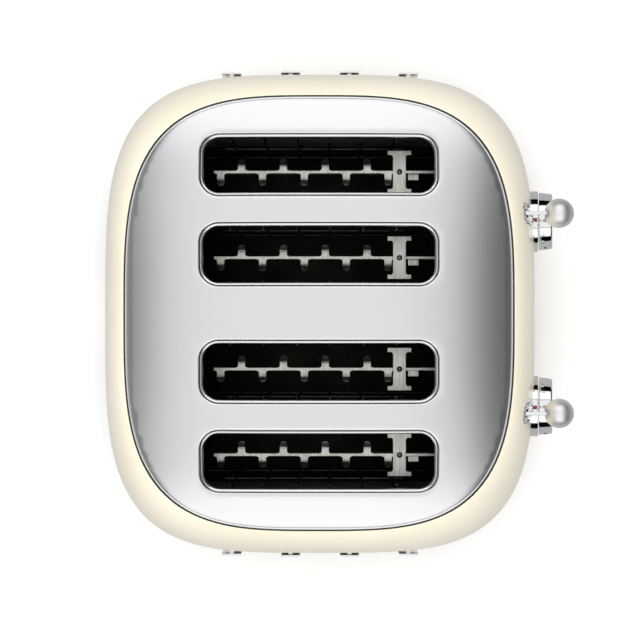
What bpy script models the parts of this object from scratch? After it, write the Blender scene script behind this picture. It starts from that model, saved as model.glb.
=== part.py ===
"""Four-slot pop-up toaster: painted rounded body, domed steel top, two levers, two dials and six buttons.

The slots run along X and lie side by side along Y. The controls are on the +X end and the crumb trays slide
out of the -X end. Every piece is worked out about the middle of the body and then moved along X by BODY_X,
so that the origin is the middle of the whole toaster's footprint, at the height of the table.
"""

import math

import bmesh
import bpy
import numpy as np
from mathutils import Matrix, Vector
from mathutils.geometry import delaunay_2d_cdt

MM = 0.001

# Body
BODY_WIDTH = 305.8 * MM  # along X, without the controls
BODY_DEPTH = 340.6 * MM  # along Y, without the trim tabs
BODY_HEIGHT = 214 * MM
BODY_POWER = 3.8  # squareness of the outline: 2 is an ellipse
WIDEST_Z = 60 * MM
SHELL_BOTTOM_Z = 18.3 * MM
LOWER_TUCK = 2.5 * MM  # how much narrower the shell is at its lower edge
ROLL_POWER = 3.5  # roundness of the shoulder
ROLL_SPAN = 0.985  # share of the shoulder's curve that ends at the panel
WALL_LEAN = 0.6  # share of the narrowing that is a straight lean of the walls
SHELL_WALL = 2 * MM
RIM_DROP = 3.5 * MM  # height of the shell's inner edge around the panel
OUTLINE_POINTS = 48

# Top panel
PANEL_WIDTH = 242 * MM
PANEL_DEPTH = 270 * MM
PANEL_POWER = 3.35
PANEL_WALL = 1.2 * MM
DOME_RISE = 19 * MM
DOME_POWER = 2.2
PANEL_LIP = 4 * MM
SEAM = 1.3 * MM
SLOT_LENGTH = 147 * MM
SLOT_WIDTH = 38 * MM
SLOT_CORNER = 11.5 * MM
SLOT_LIP = 8 * MM
SLOT_PITCH = 55.9 * MM
PAIR_Y = 64.25 * MM  # middle of each pair of slots
PANEL_GRID = 19 * MM

# Base
SKIRT_TOP_Z = 18 * MM
SKIRT_BOTTOM_Z = 6 * MM
SKIRT_INSET = 1 * MM
SKIRT_TAPER = 1.5 * MM
SKIRT_WALL = 2 * MM
BASE_BOTTOM_Z = 8 * MM
BASE_WALL = 1.5 * MM
FOOT_RADIUS = 11 * MM
FOOT_TIP_RADIUS = 9.5 * MM
FOOT_X = 100 * MM
FOOT_Y = 112 * MM
RUNNER_WALL = 1.5 * MM
RUNNER_OFFSET = 30 * MM

# Chassis
GAP = 0.3 * MM  # between pieces that touch
PLATE_WALL = 1.5 * MM
PLATE_MARGIN = 12.5 * MM  # from the end of a slot to an end plate
PLATE_TOP_DROP = 36 * MM  # from the crest of the dome down to the chassis
ELEMENT_WALL = 1 * MM
ELEMENT_BOTTOM_Z = 55 * MM
ELEMENT_TOP_DROP = 42 * MM
REFLECTOR_WALL = 1 * MM
REFLECTOR_OFFSET = 4.3 * MM  # outside the outermost element
REFLECTOR_BOTTOM_Z = 36 * MM
SHELF_LENGTH = 27 * MM
SHELF_WIDTH = 16 * MM

# Bread guides
GUIDE_WIRE = 1.6 * MM
GUIDE_COUNT = 6
GUIDE_PITCH = 21.1 * MM
GUIDE_SHIFT = -3.7 * MM
GUIDE_OUTSET = 1.5 * MM  # outside the slot's edge
GUIDE_PIVOT_Z = 48 * MM
GUIDE_RAIL_Z = 103 * MM
GUIDE_TOP_DROP = 31 * MM
PIVOT_CLEARANCE = 0.6 * MM

# Bread racks and lifting gear
RACK_DROP = 60.8 * MM  # from the crest of the dome down to the raised racks
LEVER_TRAVEL = 50 * MM
BLADE_WALL = 2 * MM
BLADE_HEIGHT = 12 * MM
BLADE_REAR_X = -69 * MM
FINGER_WIDTH = 4.9 * MM
FINGER_WALL = 1.2 * MM
FINGER_REACH = 9.2 * MM
FINGER_FLAT = 7 * MM
FINGER_TIP = 3 * MM
FINGER_PITCH = 27.3 * MM
FINGER_FIRST_X = -64.4 * MM
FINGERS_NEAR = 5
FINGERS_FAR = 4
STRAP_X = 52.2 * MM
STRAP_WIDTH = 8.6 * MM
STRAP_END_WIDTH = 15.7 * MM
STRAP_END = 3 * MM
STRAP_SPAN = 28 * MM
STRAP_WALL = 1.8 * MM
TAB_LENGTH = 7.2 * MM
TAB_WIDTH = 5 * MM
TAB_GAP = 5.7 * MM
BLADE_CLEARANCE = 1.2 * MM
CARRIAGE_GAP = 10.5 * MM  # from the control end plate to the carriage
CARRIAGE_LENGTH = 20 * MM
CARRIAGE_BAR = 6 * MM
CARRIAGE_BAR_HEIGHT = 12 * MM
CARRIAGE_HEIGHT = 30 * MM
CARRIAGE_HUB_WIDTH = 22 * MM
CARRIAGE_OVERHANG = 5 * MM
CARRIAGE_DROP = 11 * MM  # from the rack's top down to the carriage's underside
ROD_RADIUS = 3 * MM
ROD_INSET = 10 * MM
ROD_CLEARANCE = 1 * MM
SPRING_RADIUS = 5.2 * MM
SPRING_WIRE = 1.2 * MM
SPRING_TURNS = 10

# Levers
LEVER_Z_ABOVE_RACK = 14.8 * MM
ARM_WALL = 2.6 * MM
ARM_HEIGHT = 7 * MM
BALL_RADIUS = 9.45 * MM
BALL_REACH = 21 * MM  # from the shell's surface to the ball's middle
BALL_SOCKET = 4.5 * MM
FRAME_HALF_WIDTH = 6.2 * MM
FRAME_OPENING = 2.8 * MM
FRAME_OVERRUN = 2.5 * MM
FRAME_PROUD = 0.6 * MM
FRAME_DEPTH = 2.5 * MM

# Dials
RING_RADIUS = 21 * MM
RING_PROUD = 3.6 * MM
DIAL_TILT = math.radians(8)  # the dials lean back with the shell's wall
RING_DEPTH = 6.6 * MM
RING_DROP = 3.4 * MM  # between the lever's frame and the ring
KNOB_RADIUS = 20 * MM
KNOB_TIP_RADIUS = 19.1 * MM
KNOB_LENGTH = 9.2 * MM
KNOB_EDGE = 1.2 * MM
SHAFT_RADIUS = 3 * MM
SHAFT_DEPTH = 9.6 * MM
SHAFT_CLEARANCE = 0.6 * MM
RUNNING_GAP = 0.5 * MM

# Buttons
BUTTON_RADIUS = 5 * MM
BUTTON_PROUD = 3 * MM
BUTTON_DEPTH = 9 * MM
BUTTON_PITCH = 14 * MM
BUTTON_DROP = 8 * MM  # between a dial's ring and the buttons
BUTTON_TRAVEL = 2.5 * MM
HOLE_CLEARANCE = 0.4 * MM

# Control board
BOARD_WALL = 1.6 * MM
BOARD_WIDTH = 210 * MM
BOARD_RISE = 11.8 * MM  # of the board's top above the dials' middles
BOARD_SETBACK = 7 * MM  # behind the pressed buttons
MAGNET_WIDTH = 18 * MM
MAGNET_HEIGHT = 15 * MM
POT_SIZE = 16 * MM

# Crumb trays
TRAY_WIDTH = 84 * MM
TRAY_BOTTOM_Z = 20 * MM
TRAY_HEIGHT = 11 * MM
TRAY_WALL = 1.2 * MM
TRAY_FRONT_MARGIN = 1.4 * MM
TRAY_FRONT_TOP_Z = 33.6 * MM
TRAY_FRONT_DEPTH = 4 * MM
TRAY_CLEARANCE = 0.5 * MM

# Cord inlet
GLAND_X = -100 * MM
GLAND_RADIUS = 7.6 * MM
GLAND_FLANGE = 10.5 * MM
GLAND_BORE = 3.6 * MM
GLAND_LENGTH = 5 * MM

# Trim tabs on the long sides
TRIM_COUNT = 4
TRIM_PITCH = 41.9 * MM
TRIM_WIDTH = 13.5 * MM
TRIM_HEIGHT = 18 * MM
TRIM_WALL = 1.3 * MM
TRIM_STUD = 3 * MM
TRIM_STRIP_HEIGHT = 8 * MM
TRIM_STRIP_WALL = 1.2 * MM

# Worked out from the sizes above
PANEL_EDGE_Z = BODY_HEIGHT - DOME_RISE
CHASSIS_TOP_Z = BODY_HEIGHT - PLATE_TOP_DROP
ELEMENT_TOP_Z = BODY_HEIGHT - ELEMENT_TOP_DROP
GUIDE_TOP_Z = BODY_HEIGHT - GUIDE_TOP_DROP
BASE_TOP_Z = BASE_BOTTOM_Z + BASE_WALL
PLATE_X = SLOT_LENGTH / 2 + PLATE_MARGIN
GUIDE_OFFSET = SLOT_WIDTH / 2 + GUIDE_OUTSET
RACK_Z = BODY_HEIGHT - RACK_DROP
LEVER_Z = RACK_Z + LEVER_Z_ABOVE_RACK
CARRIAGE_X = PLATE_X + PLATE_WALL + CARRIAGE_GAP
CARRIAGE_Z = RACK_Z - CARRIAGE_DROP
ROD_X = CARRIAGE_X + ROD_INSET
FRAME_TOP_Z = LEVER_Z + ARM_HEIGHT / 2 + FRAME_OVERRUN + FRAME_HALF_WIDTH - FRAME_OPENING
FRAME_BOTTOM_Z = 2 * LEVER_Z - LEVER_TRAVEL - FRAME_TOP_Z
DIAL_Z = FRAME_BOTTOM_Z - RING_DROP - RING_RADIUS
BOARD_TOP_Z = DIAL_Z + BOARD_RISE
BUTTON_Z = DIAL_Z - RING_RADIUS - BUTTON_DROP - BUTTON_RADIUS
PAIRS = (PAIR_Y, -PAIR_Y)
SLOT_CENTRES = [pair + side * SLOT_PITCH / 2 for pair in PAIRS for side in (1, -1)]
OUTER_ELEMENT_Y = PAIR_Y + SLOT_PITCH
ELEMENT_CENTRES = [pair + step * SLOT_PITCH for pair in PAIRS for step in (1, 0, -1)]
REFLECTOR_Y = OUTER_ELEMENT_Y + REFLECTOR_OFFSET

# Colours, roughness and metallic value of each material
FINISHES = {
    "cream_paint": ("#efe9da", 0.18, 0.0),
    "satin_steel": ("#c8c8c9", 0.3, 1.0),
    "chrome": ("#d5d6d8", 0.06, 1.0),
    "black_rubber": ("#1b1b1b", 0.8, 0.0),
    "zinc_steel": ("#9a9c98", 0.4, 1.0),
    "mica": ("#5c5843", 0.6, 0.0),
    "spring_steel": ("#77787a", 0.35, 1.0),
    "black_plastic": ("#202124", 0.5, 0.0),
    "circuit_board": ("#1f4a2e", 0.5, 0.0),
}


def body_sides(z):
    """Half width, half depth and squareness of the shell's outer surface at height z."""
    half_x = BODY_WIDTH / 2
    half_y = BODY_DEPTH / 2
    if z < WIDEST_Z:
        tuck = LOWER_TUCK * ((WIDEST_Z - z) / (WIDEST_Z - SHELL_BOTTOM_Z)) ** 2
        return half_x - tuck, half_y - tuck, BODY_POWER
    rise = (z - WIDEST_Z) / (PANEL_EDGE_Z - WIDEST_Z)
    roll = WALL_LEAN * rise + (1 - WALL_LEAN) * shoulder(ROLL_SPAN * rise) / shoulder(ROLL_SPAN)
    rim_x = PANEL_WIDTH / 2 + SEAM
    rim_y = PANEL_DEPTH / 2 + SEAM
    power = BODY_POWER + roll * (PANEL_POWER - BODY_POWER)
    return half_x - roll * (half_x - rim_x), half_y - roll * (half_y - rim_y), power


def shoulder(share):
    """How far a curve with a half height and a half width of 1 has turned in at this share of its height."""
    return 1 - (1 - share**ROLL_POWER) ** (1 / ROLL_POWER)


def surface_x(y, z):
    """Distance of the shell's outer surface from the body's middle along X."""
    half_x, half_y, power = body_sides(z)
    return half_x * (1 - (abs(y) / half_y) ** power) ** (1 / power)


def surface_y(x, z):
    """Distance of the shell's outer surface from the body's middle along Y."""
    half_x, half_y, power = body_sides(z)
    return half_y * (1 - (abs(x) / half_x) ** power) ** (1 / power)


def dome_z(x, y):
    """Height of the top panel's outer surface."""
    reach = (abs(2 * x / PANEL_WIDTH) ** PANEL_POWER + abs(2 * y / PANEL_DEPTH) ** PANEL_POWER) ** (1 / PANEL_POWER)
    return PANEL_EDGE_Z + DOME_RISE * (1 - reach**DOME_POWER)


DIAL_X = surface_x(PAIR_Y, DIAL_Z)
KNOB_REACH = RING_PROUD + RUNNING_GAP + KNOB_LENGTH
KNOB_TIP_X = DIAL_X + KNOB_REACH * math.cos(DIAL_TILT) + (KNOB_TIP_RADIUS - KNOB_EDGE) * math.sin(DIAL_TILT)
BODY_X = -(KNOB_TIP_X - BODY_WIDTH / 2) / 2
BALL_X = surface_x(PAIR_Y, LEVER_Z) + BALL_REACH
BUTTON_FACE_X = surface_x(PAIR_Y + BUTTON_PITCH, BUTTON_Z)
BOARD_X = BUTTON_FACE_X - BUTTON_DEPTH - BUTTON_TRAVEL - BOARD_SETBACK


def oval(half_x, half_y, power, z):
    """Points round a rounded rectangle at height z."""
    points = []
    for i in range(OUTLINE_POINTS):
        angle = 2 * math.pi * i / OUTLINE_POINTS
        across, along = math.cos(angle), math.sin(angle)
        x = math.copysign(abs(across) ** (2 / power), across) * half_x
        y = math.copysign(abs(along) ** (2 / power), along) * half_y
        points.append(Vector((x, y, z)))
    return points


def circle(radius, count):
    """Points round a circle about the origin, as pairs."""
    steps = [2 * math.pi * i / count for i in range(count)]
    return [(radius * math.cos(step), radius * math.sin(step)) for step in steps]


def skin(rings, closed):
    """A mesh through equal loops of points. Closed joins the last loop to the first; otherwise flat caps end it."""
    bm = bmesh.new()
    loops = [[bm.verts.new(point) for point in ring] for ring in rings]
    pairs = list(zip(loops, loops[1:]))
    if closed:
        pairs.append((loops[-1], loops[0]))
    for low, high in pairs:
        count = len(low)
        for i in range(count):
            j = (i + 1) % count
            bm.faces.new((low[i], low[j], high[j], high[i]))
    if not closed:
        bm.faces.new(loops[0])
        bm.faces.new(loops[-1])
    bmesh.ops.recalc_face_normals(bm, faces=bm.faces)
    return bm


def turned(profile, axis, centre, count, closed=False):
    """A turned mesh. The profile is (radius, place along the axis); closed leaves a bore through the middle."""
    rings = []
    for radius, along in profile:
        ring = []
        for a, b in circle(radius, count):
            local = Vector((along, a, b)) if axis == "X" else Vector((a, b, along))
            ring.append(Vector(centre) + local)
        rings.append(ring)
    return skin(rings, closed)


def dial_turned(profile, pair_y, closed=False):
    """A mesh turned about a dial's leaning axis. Places along the axis start at the shell's surface."""
    bm = turned(profile, "X", (0, 0, 0), 32, closed)
    bmesh.ops.rotate(bm, verts=bm.verts, cent=(0, 0, 0), matrix=Matrix.Rotation(-DIAL_TILT, 3, "Y"))
    bmesh.ops.translate(bm, verts=bm.verts, vec=(DIAL_X, pair_y, DIAL_Z))
    return bm


def blocks(add, cut=()):
    """A mesh of square-cornered blocks: everything inside the boxes of add and outside those of cut."""
    edges = []
    for axis in range(3):
        places = [corner[axis] for box in [*add, *cut] for corner in box]
        edges.append(np.unique(np.round(places, 7)))
    middles = [(line[1:] + line[:-1]) / 2 for line in edges]
    grid = np.meshgrid(*middles, indexing="ij")

    def inside(box):
        """Which cells have their middle in the box."""
        return np.all([(box[0][k] < grid[k]) & (grid[k] < box[1][k]) for k in range(3)], axis=0)

    solid = np.any([inside(box) for box in add], axis=0)
    for box in cut:
        solid &= ~inside(box)
    padded = np.pad(solid, 1)
    bm = bmesh.new()
    corners = {}

    def corner(index):
        """The mesh's vertex at this crossing of the grid's lines."""
        if index not in corners:
            corners[index] = bm.verts.new([edges[k][index[k]] for k in range(3)])
        return corners[index]

    for cell in np.argwhere(solid):
        for axis in range(3):
            for side in (0, 1):
                beyond = cell + 1
                beyond[axis] += 2 * side - 1
                if padded[tuple(beyond)]:
                    continue
                first, second = [k for k in range(3) if k != axis]
                face = []
                for a, b in ((0, 0), (1, 0), (1, 1), (0, 1)):
                    index = list(cell)
                    index[axis] += side
                    index[first] += a
                    index[second] += b
                    face.append(corner(tuple(int(k) for k in index)))
                bm.faces.new(face)
    bmesh.ops.recalc_face_normals(bm, faces=bm.faces)
    return bm


def box(low, high):
    """Two opposite corners of a block."""
    return (tuple(low), tuple(high))


def linear(channel):
    """A colour channel from 0 to 255, as the shader's linear value."""
    share = channel / 255
    return share / 12.92 if share <= 0.04045 else ((share + 0.055) / 1.055) ** 2.4


def make_material(name):
    """The named finish, made once."""
    if name in bpy.data.materials:
        return bpy.data.materials[name]
    colour, roughness, metallic = FINISHES[name]
    channels = [int(colour[i : i + 2], 16) for i in (1, 3, 5)]
    material = bpy.data.materials.new(name)
    material.use_nodes = True
    shader = material.node_tree.nodes["Principled BSDF"]
    shader.inputs["Base Color"].default_value = (*(linear(channel) for channel in channels), 1)
    shader.inputs["Roughness"].default_value = roughness
    shader.inputs["Metallic"].default_value = metallic
    return material


def place(name, bm, finish, origin=(0, 0, 0), smooth=False):
    """Turns the mesh into an object whose origin is this point of the body, in a material of its own."""
    bmesh.ops.translate(bm, verts=bm.verts, vec=-Vector(origin))
    mesh = bpy.data.meshes.new(name)
    bm.to_mesh(mesh)
    bm.free()
    if smooth:
        mesh.shade_smooth()
        mesh.set_sharp_from_angle(angle=math.radians(35))
    obj = bpy.data.objects.new(name, mesh)
    obj.location = Vector(origin) + Vector((BODY_X, 0, 0))
    bpy.context.scene.collection.objects.link(obj)
    mesh.materials.append(make_material(finish))
    return obj


def cutter(name, meshes):
    """A hidden object that holds these separate closed meshes."""
    joined = bmesh.new()
    for bm in meshes:
        mesh = bpy.data.meshes.new("piece")
        bm.to_mesh(mesh)
        bm.free()
        joined.from_mesh(mesh)
        bpy.data.meshes.remove(mesh)
    obj = place(name, joined, "black_plastic")
    obj.hide_render = True
    obj.display_type = "WIRE"
    return obj


def combine(obj, other, operation):
    """Adds a Boolean modifier with the other object."""
    modifier = obj.modifiers.new(operation.lower(), "BOOLEAN")
    modifier.operation = operation
    modifier.object = other


def clear_scene():
    """Removes whatever the scene holds."""
    for obj in list(bpy.data.objects):
        bpy.data.objects.remove(obj)


def stadium(pair_y, half_width, low_z, high_z, grow=0.0):
    """Points round a tall slot with round ends in the YZ plane, closer together where it bends."""
    radius = half_width + grow
    low = low_z - grow + radius
    high = high_z + grow - radius
    points = []
    for i in range(9):
        angle = math.pi * i / 8
        points.append((pair_y + radius * math.cos(angle), high + radius * math.sin(angle)))
    for i in range(1, 5):
        points.append((pair_y - radius, high + (low - high) * i / 5))
    for i in range(9):
        angle = math.pi + math.pi * i / 8
        points.append((pair_y + radius * math.cos(angle), low + radius * math.sin(angle)))
    for i in range(1, 5):
        points.append((pair_y + radius, low + (high - low) * i / 5))
    return points


def button_places(pair_y):
    """The middles of a pair's three buttons along Y."""
    return [pair_y + step * BUTTON_PITCH for step in (1, 0, -1)]


def shell_openings():
    """Everything that is cut out of the painted shell."""
    out_x = BODY_WIDTH / 2 + 20 * MM
    in_x = surface_x(PAIR_Y, FRAME_TOP_Z) - 20 * MM
    openings = []
    for pair in PAIRS:
        hole = stadium(pair, FRAME_HALF_WIDTH, FRAME_BOTTOM_Z, FRAME_TOP_Z, HOLE_CLEARANCE)
        openings.append(skin([[Vector((x, y, z)) for y, z in hole] for x in (in_x, out_x)], False))
        radius = RING_RADIUS + HOLE_CLEARANCE
        openings.append(dial_turned([(radius, -20 * MM), (radius, 20 * MM)], pair))
        radius = BUTTON_RADIUS + HOLE_CLEARANCE
        for y in button_places(pair):
            openings.append(turned([(radius, in_x), (radius, out_x)], "X", (0, y, BUTTON_Z), 12))
        half = TRAY_WIDTH / 2 + TRAY_FRONT_MARGIN + TRAY_CLEARANCE
        low = (-out_x, pair - half, SHELL_BOTTOM_Z - 5 * MM)
        high = (-in_x, pair + half, TRAY_FRONT_TOP_Z + TRAY_CLEARANCE)
        openings.append(blocks([box(low, high)]))
    half = TRIM_STUD / 2 + HOLE_CLEARANCE
    for side in (1, -1):
        ends = sorted((side * BODY_DEPTH / 2 * 0.9, side * BODY_DEPTH / 2 * 1.1))
        for x in trim_places():
            low = (x - half, ends[0], WIDEST_Z - half)
            openings.append(blocks([box(low, (x + half, ends[1], WIDEST_Z + half))]))
    return openings


def body_shell():
    """The painted shell: a thin wall, open below and around the top panel."""
    low_steps = [SHELL_BOTTOM_Z + (WIDEST_Z - SHELL_BOTTOM_Z) * share for share in (0, 0.35, 0.7)]
    high_steps = [WIDEST_Z + (PANEL_EDGE_Z - WIDEST_Z) * share for share in (0, 0.26, 0.48, 0.66, 0.8, 0.92, 1)]
    heights = low_steps + high_steps
    rings = [oval(*body_sides(z), z) for z in heights]
    rim_x, rim_y, power = body_sides(PANEL_EDGE_Z)
    rings.append(oval(rim_x, rim_y, power, PANEL_EDGE_Z - RIM_DROP))
    for z in reversed(heights[:-1]):
        half_x, half_y, power = body_sides(z)
        rings.append(oval(half_x - SHELL_WALL, half_y - SHELL_WALL, power, z))
    shell = place("body_shell", skin(rings, True), "cream_paint", smooth=True)
    combine(shell, cutter("shell_cutter", shell_openings()), "DIFFERENCE")


def slot_outline(centre_y):
    """Points round a bread slot, closer together at the corners."""
    straight_x = SLOT_LENGTH / 2 - SLOT_CORNER
    straight_y = SLOT_WIDTH / 2 - SLOT_CORNER
    points = []
    for quarter, (side_x, side_y) in enumerate(((1, 1), (-1, 1), (-1, -1), (1, -1))):
        for i in range(6):
            angle = math.pi / 2 * (quarter + i / 5)
            x = side_x * straight_x + SLOT_CORNER * math.cos(angle)
            y = side_y * straight_y + SLOT_CORNER * math.sin(angle)
            points.append(Vector((x, centre_y + y)))
        if quarter % 2 == 0:
            last = points[-1]
            for i in range(1, 6):
                points.append(Vector((last.x - side_x * 2 * straight_x * i / 6, last.y)))
    return points


def inside_oval(x, y, margin):
    """Whether a point is inside the panel's outline, this far from it."""
    half_x = PANEL_WIDTH / 2 - margin
    half_y = PANEL_DEPTH / 2 - margin
    return abs(x / half_x) ** PANEL_POWER + abs(y / half_y) ** PANEL_POWER < 1


def inside_slot(x, y, margin):
    """Whether a point is inside one of the bread slots, or this near one."""
    over_x = max(abs(x) - (SLOT_LENGTH / 2 - SLOT_CORNER), 0)
    for centre in SLOT_CENTRES:
        over_y = max(abs(y - centre) - (SLOT_WIDTH / 2 - SLOT_CORNER), 0)
        if math.hypot(over_x, over_y) < SLOT_CORNER + margin:
            return True
    return False


def grid_places(half, step):
    """Evenly spaced places from one side to the other, with one in the middle."""
    count = int(half / step)
    return [i * step for i in range(-count, count + 1)]


def top_panel():
    """The domed panel: thin sheet whose outer edge and slot edges are turned down."""
    loops = [[Vector((p.x, p.y)) for p in oval(PANEL_WIDTH / 2, PANEL_DEPTH / 2, PANEL_POWER, 0)]]
    loops += [slot_outline(centre) for centre in SLOT_CENTRES]
    points = [point for loop in loops for point in loop]
    edges = []
    first = 0
    for loop in loops:
        count = len(loop)
        edges += [(first + i, first + (i + 1) % count) for i in range(count)]
        first += count
    for x in grid_places(PANEL_WIDTH / 2, PANEL_GRID):
        for y in grid_places(PANEL_DEPTH / 2, PANEL_GRID):
            if inside_oval(x, y, PANEL_GRID / 3) and not inside_slot(x, y, PANEL_GRID / 4):
                points.append(Vector((x, y)))
    flat, _, triangles, *_ = delaunay_2d_cdt(points, edges, [], 0, 1e-6)
    bm = bmesh.new()
    verts = [bm.verts.new((p.x, p.y, dome_z(p.x, p.y))) for p in flat]
    for triangle in triangles:
        x = sum(flat[i].x for i in triangle) / 3
        y = sum(flat[i].y for i in triangle) / 3
        if inside_oval(x, y, 0.1 * MM) and not inside_slot(x, y, -0.1 * MM):
            bm.faces.new([verts[i] for i in triangle])
    bmesh.ops.delete(bm, geom=[v for v in bm.verts if not v.link_faces], context="VERTS")
    rim = [edge for edge in bm.edges if edge.is_boundary]
    turned_down = bmesh.ops.extrude_edge_only(bm, edges=rim)
    for vert in (item for item in turned_down["geom"] if isinstance(item, bmesh.types.BMVert)):
        at_slot = inside_slot(vert.co.x, vert.co.y, 1 * MM)
        vert.co.z -= SLOT_LIP if at_slot else PANEL_LIP
    bmesh.ops.recalc_face_normals(bm, faces=bm.faces)
    highest = max(bm.faces, key=lambda face: face.calc_center_median().z)
    if highest.normal.z < 0:
        bmesh.ops.reverse_faces(bm, faces=bm.faces)
    panel = place("top_panel", bm, "satin_steel", smooth=True)
    solidify = panel.modifiers.new("sheet", "SOLIDIFY")
    solidify.thickness = PANEL_WALL
    solidify.offset = -1


def panel_seal():
    """The dark gasket in the seam around the top panel."""
    inner_x = PANEL_WIDTH / 2 + GAP
    inner_y = PANEL_DEPTH / 2 + GAP
    wall = SEAM - 2 * GAP
    top = PANEL_EDGE_Z - 1 * MM
    bottom = PANEL_EDGE_Z - PANEL_LIP
    rings = []
    for grow, z in ((0, bottom), (wall, bottom), (wall, top), (0, top)):
        rings.append(oval(inner_x + grow, inner_y + grow, PANEL_POWER, z))
    place("panel_seal", skin(rings, True), "black_rubber", smooth=True)


def skirt_sides(z):
    """Half width and half depth of the skirt's outer surface at height z."""
    half_x, half_y, _ = body_sides(SHELL_BOTTOM_Z)
    taper = SKIRT_TAPER * (SKIRT_TOP_Z - z) / (SKIRT_TOP_Z - SKIRT_BOTTOM_Z)
    return half_x - SKIRT_INSET - taper, half_y - SKIRT_INSET - taper


def base_skirt():
    """The polished band below the shell."""
    rings = []
    for z in (SKIRT_BOTTOM_Z, SKIRT_TOP_Z):
        half_x, half_y = skirt_sides(z)
        rings.append(oval(half_x, half_y, BODY_POWER, z))
    for z in (SKIRT_TOP_Z, SKIRT_BOTTOM_Z):
        half_x, half_y = skirt_sides(z)
        rings.append(oval(half_x - SKIRT_WALL, half_y - SKIRT_WALL, BODY_POWER, z))
    place("base_skirt", skin(rings, True), "chrome", smooth=True)


def base_plate():
    """The floor of the toaster, with a hole for the cord's inlet and runners for the crumb trays."""
    half_x, half_y = skirt_sides(BASE_BOTTOM_Z)
    inset = SKIRT_WALL + GAP
    rings = [oval(half_x - inset, half_y - inset, BODY_POWER, z) for z in (BASE_BOTTOM_Z, BASE_TOP_Z)]
    plate = place("base_plate", skin(rings, False), "zinc_steel")
    runners = []
    for pair in PAIRS:
        for side in (-1, 1):
            y = pair + side * RUNNER_OFFSET
            low = (-PLATE_X + 6 * MM, y - RUNNER_WALL / 2, BASE_BOTTOM_Z + 0.5 * MM)
            high = (PLATE_X - 6 * MM, y + RUNNER_WALL / 2, TRAY_BOTTOM_Z - GAP)
            runners.append(blocks([box(low, high)]))
    combine(plate, cutter("runners", runners), "UNION")
    radius = GLAND_RADIUS + GAP
    profile = [(radius, 0), (radius, BASE_TOP_Z + 5 * MM)]
    combine(plate, cutter("inlet_hole", [turned(profile, "Z", (GLAND_X, 0, 0), 20)]), "DIFFERENCE")


def feet():
    """Four rubber feet under the base plate."""
    top = BASE_BOTTOM_Z - GAP
    edge = 1 * MM
    profile = [(FOOT_TIP_RADIUS - edge, 0), (FOOT_TIP_RADIUS, edge), (FOOT_RADIUS, top)]
    corners = ((1, 1), (-1, 1), (-1, -1), (1, -1))
    for number, (side_x, side_y) in enumerate(corners, 1):
        centre = (side_x * FOOT_X, side_y * FOOT_Y, 0)
        place(f"foot_{number}", turned(profile, "Z", centre, 20), "black_rubber", centre, smooth=True)


def cord_gland():
    """The bush that a power cord would come out of, under the base."""
    low = BASE_BOTTOM_Z - GLAND_LENGTH
    seat = BASE_TOP_Z + GAP
    top = seat + 2.2 * MM
    profile = [
        (GLAND_BORE, low),
        (GLAND_RADIUS, low),
        (GLAND_RADIUS, seat),
        (GLAND_FLANGE, seat),
        (GLAND_FLANGE, top),
        (GLAND_BORE, top),
    ]
    place("cord_gland", turned(profile, "Z", (GLAND_X, 0, 0), 20, closed=True), "black_plastic", smooth=True)


def pivot_holes(low_x, high_x):
    """The holes in an end plate that the bread guides pivot in."""
    half = GUIDE_WIRE / 2 + PIVOT_CLEARANCE
    holes = []
    for centre in SLOT_CENTRES:
        for y in (centre + GUIDE_OFFSET, centre - GUIDE_OFFSET):
            low = (low_x, y - half, GUIDE_PIVOT_Z - half)
            holes.append(box(low, (high_x, y + half, GUIDE_PIVOT_Z + half)))
    return holes


def end_plates():
    """The two upright plates that carry the elements, the guides and the lifting gear."""
    half_y = REFLECTOR_Y + 2 * MM
    low_z = BASE_TOP_Z + GAP
    near, far = PLATE_X, PLATE_X + PLATE_WALL
    add = [box((near, -half_y, low_z), (far, half_y, CHASSIS_TOP_Z))]
    cut = pivot_holes(near, far)
    for pair in PAIRS:
        low = (near, pair - SHELF_WIDTH / 2, CHASSIS_TOP_Z - PLATE_WALL)
        add.append(box(low, (far + SHELF_LENGTH, pair + SHELF_WIDTH / 2, CHASSIS_TOP_Z)))
    half = BLADE_WALL / 2 + BLADE_CLEARANCE
    for centre in SLOT_CENTRES:
        low = (near, centre - half, RACK_Z - BLADE_HEIGHT - LEVER_TRAVEL - BLADE_CLEARANCE)
        cut.append(box(low, (far, centre + half, RACK_Z + BLADE_CLEARANCE)))
    place("control_end_plate", blocks(add, cut), "zinc_steel")

    cut = pivot_holes(-far, -near)
    half = TRAY_WIDTH / 2 + TRAY_CLEARANCE
    top = TRAY_BOTTOM_Z + TRAY_HEIGHT + TRAY_CLEARANCE
    for pair in PAIRS:
        cut.append(box((-far, pair - half, low_z), (-near, pair + half, top)))
    add = [box((-far, -half_y, low_z), (-near, half_y, CHASSIS_TOP_Z))]
    place("rear_end_plate", blocks(add, cut), "zinc_steel")


def upright_sheet(name, y, wall, low_z, high_z, finish):
    """A flat sheet that stands between the end plates."""
    half_x = PLATE_X - GAP
    sheet = blocks([box((-half_x, y - wall / 2, low_z), (half_x, y + wall / 2, high_z))])
    place(name, sheet, finish)


def heaters():
    """Mica heating elements on both sides of each slot, and the reflectors around them."""
    for number, y in enumerate(ELEMENT_CENTRES, 1):
        upright_sheet(f"heating_element_{number}", y, ELEMENT_WALL, ELEMENT_BOTTOM_Z, ELEMENT_TOP_Z, "mica")
    for number, side in enumerate((1, -1), 1):
        name = f"outer_reflector_{number}"
        upright_sheet(name, side * REFLECTOR_Y, REFLECTOR_WALL, REFLECTOR_BOTTOM_Z, ELEMENT_TOP_Z, "zinc_steel")
    upright_sheet("centre_reflector", 0, REFLECTOR_WALL, REFLECTOR_BOTTOM_Z, ELEMENT_TOP_Z, "zinc_steel")


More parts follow.
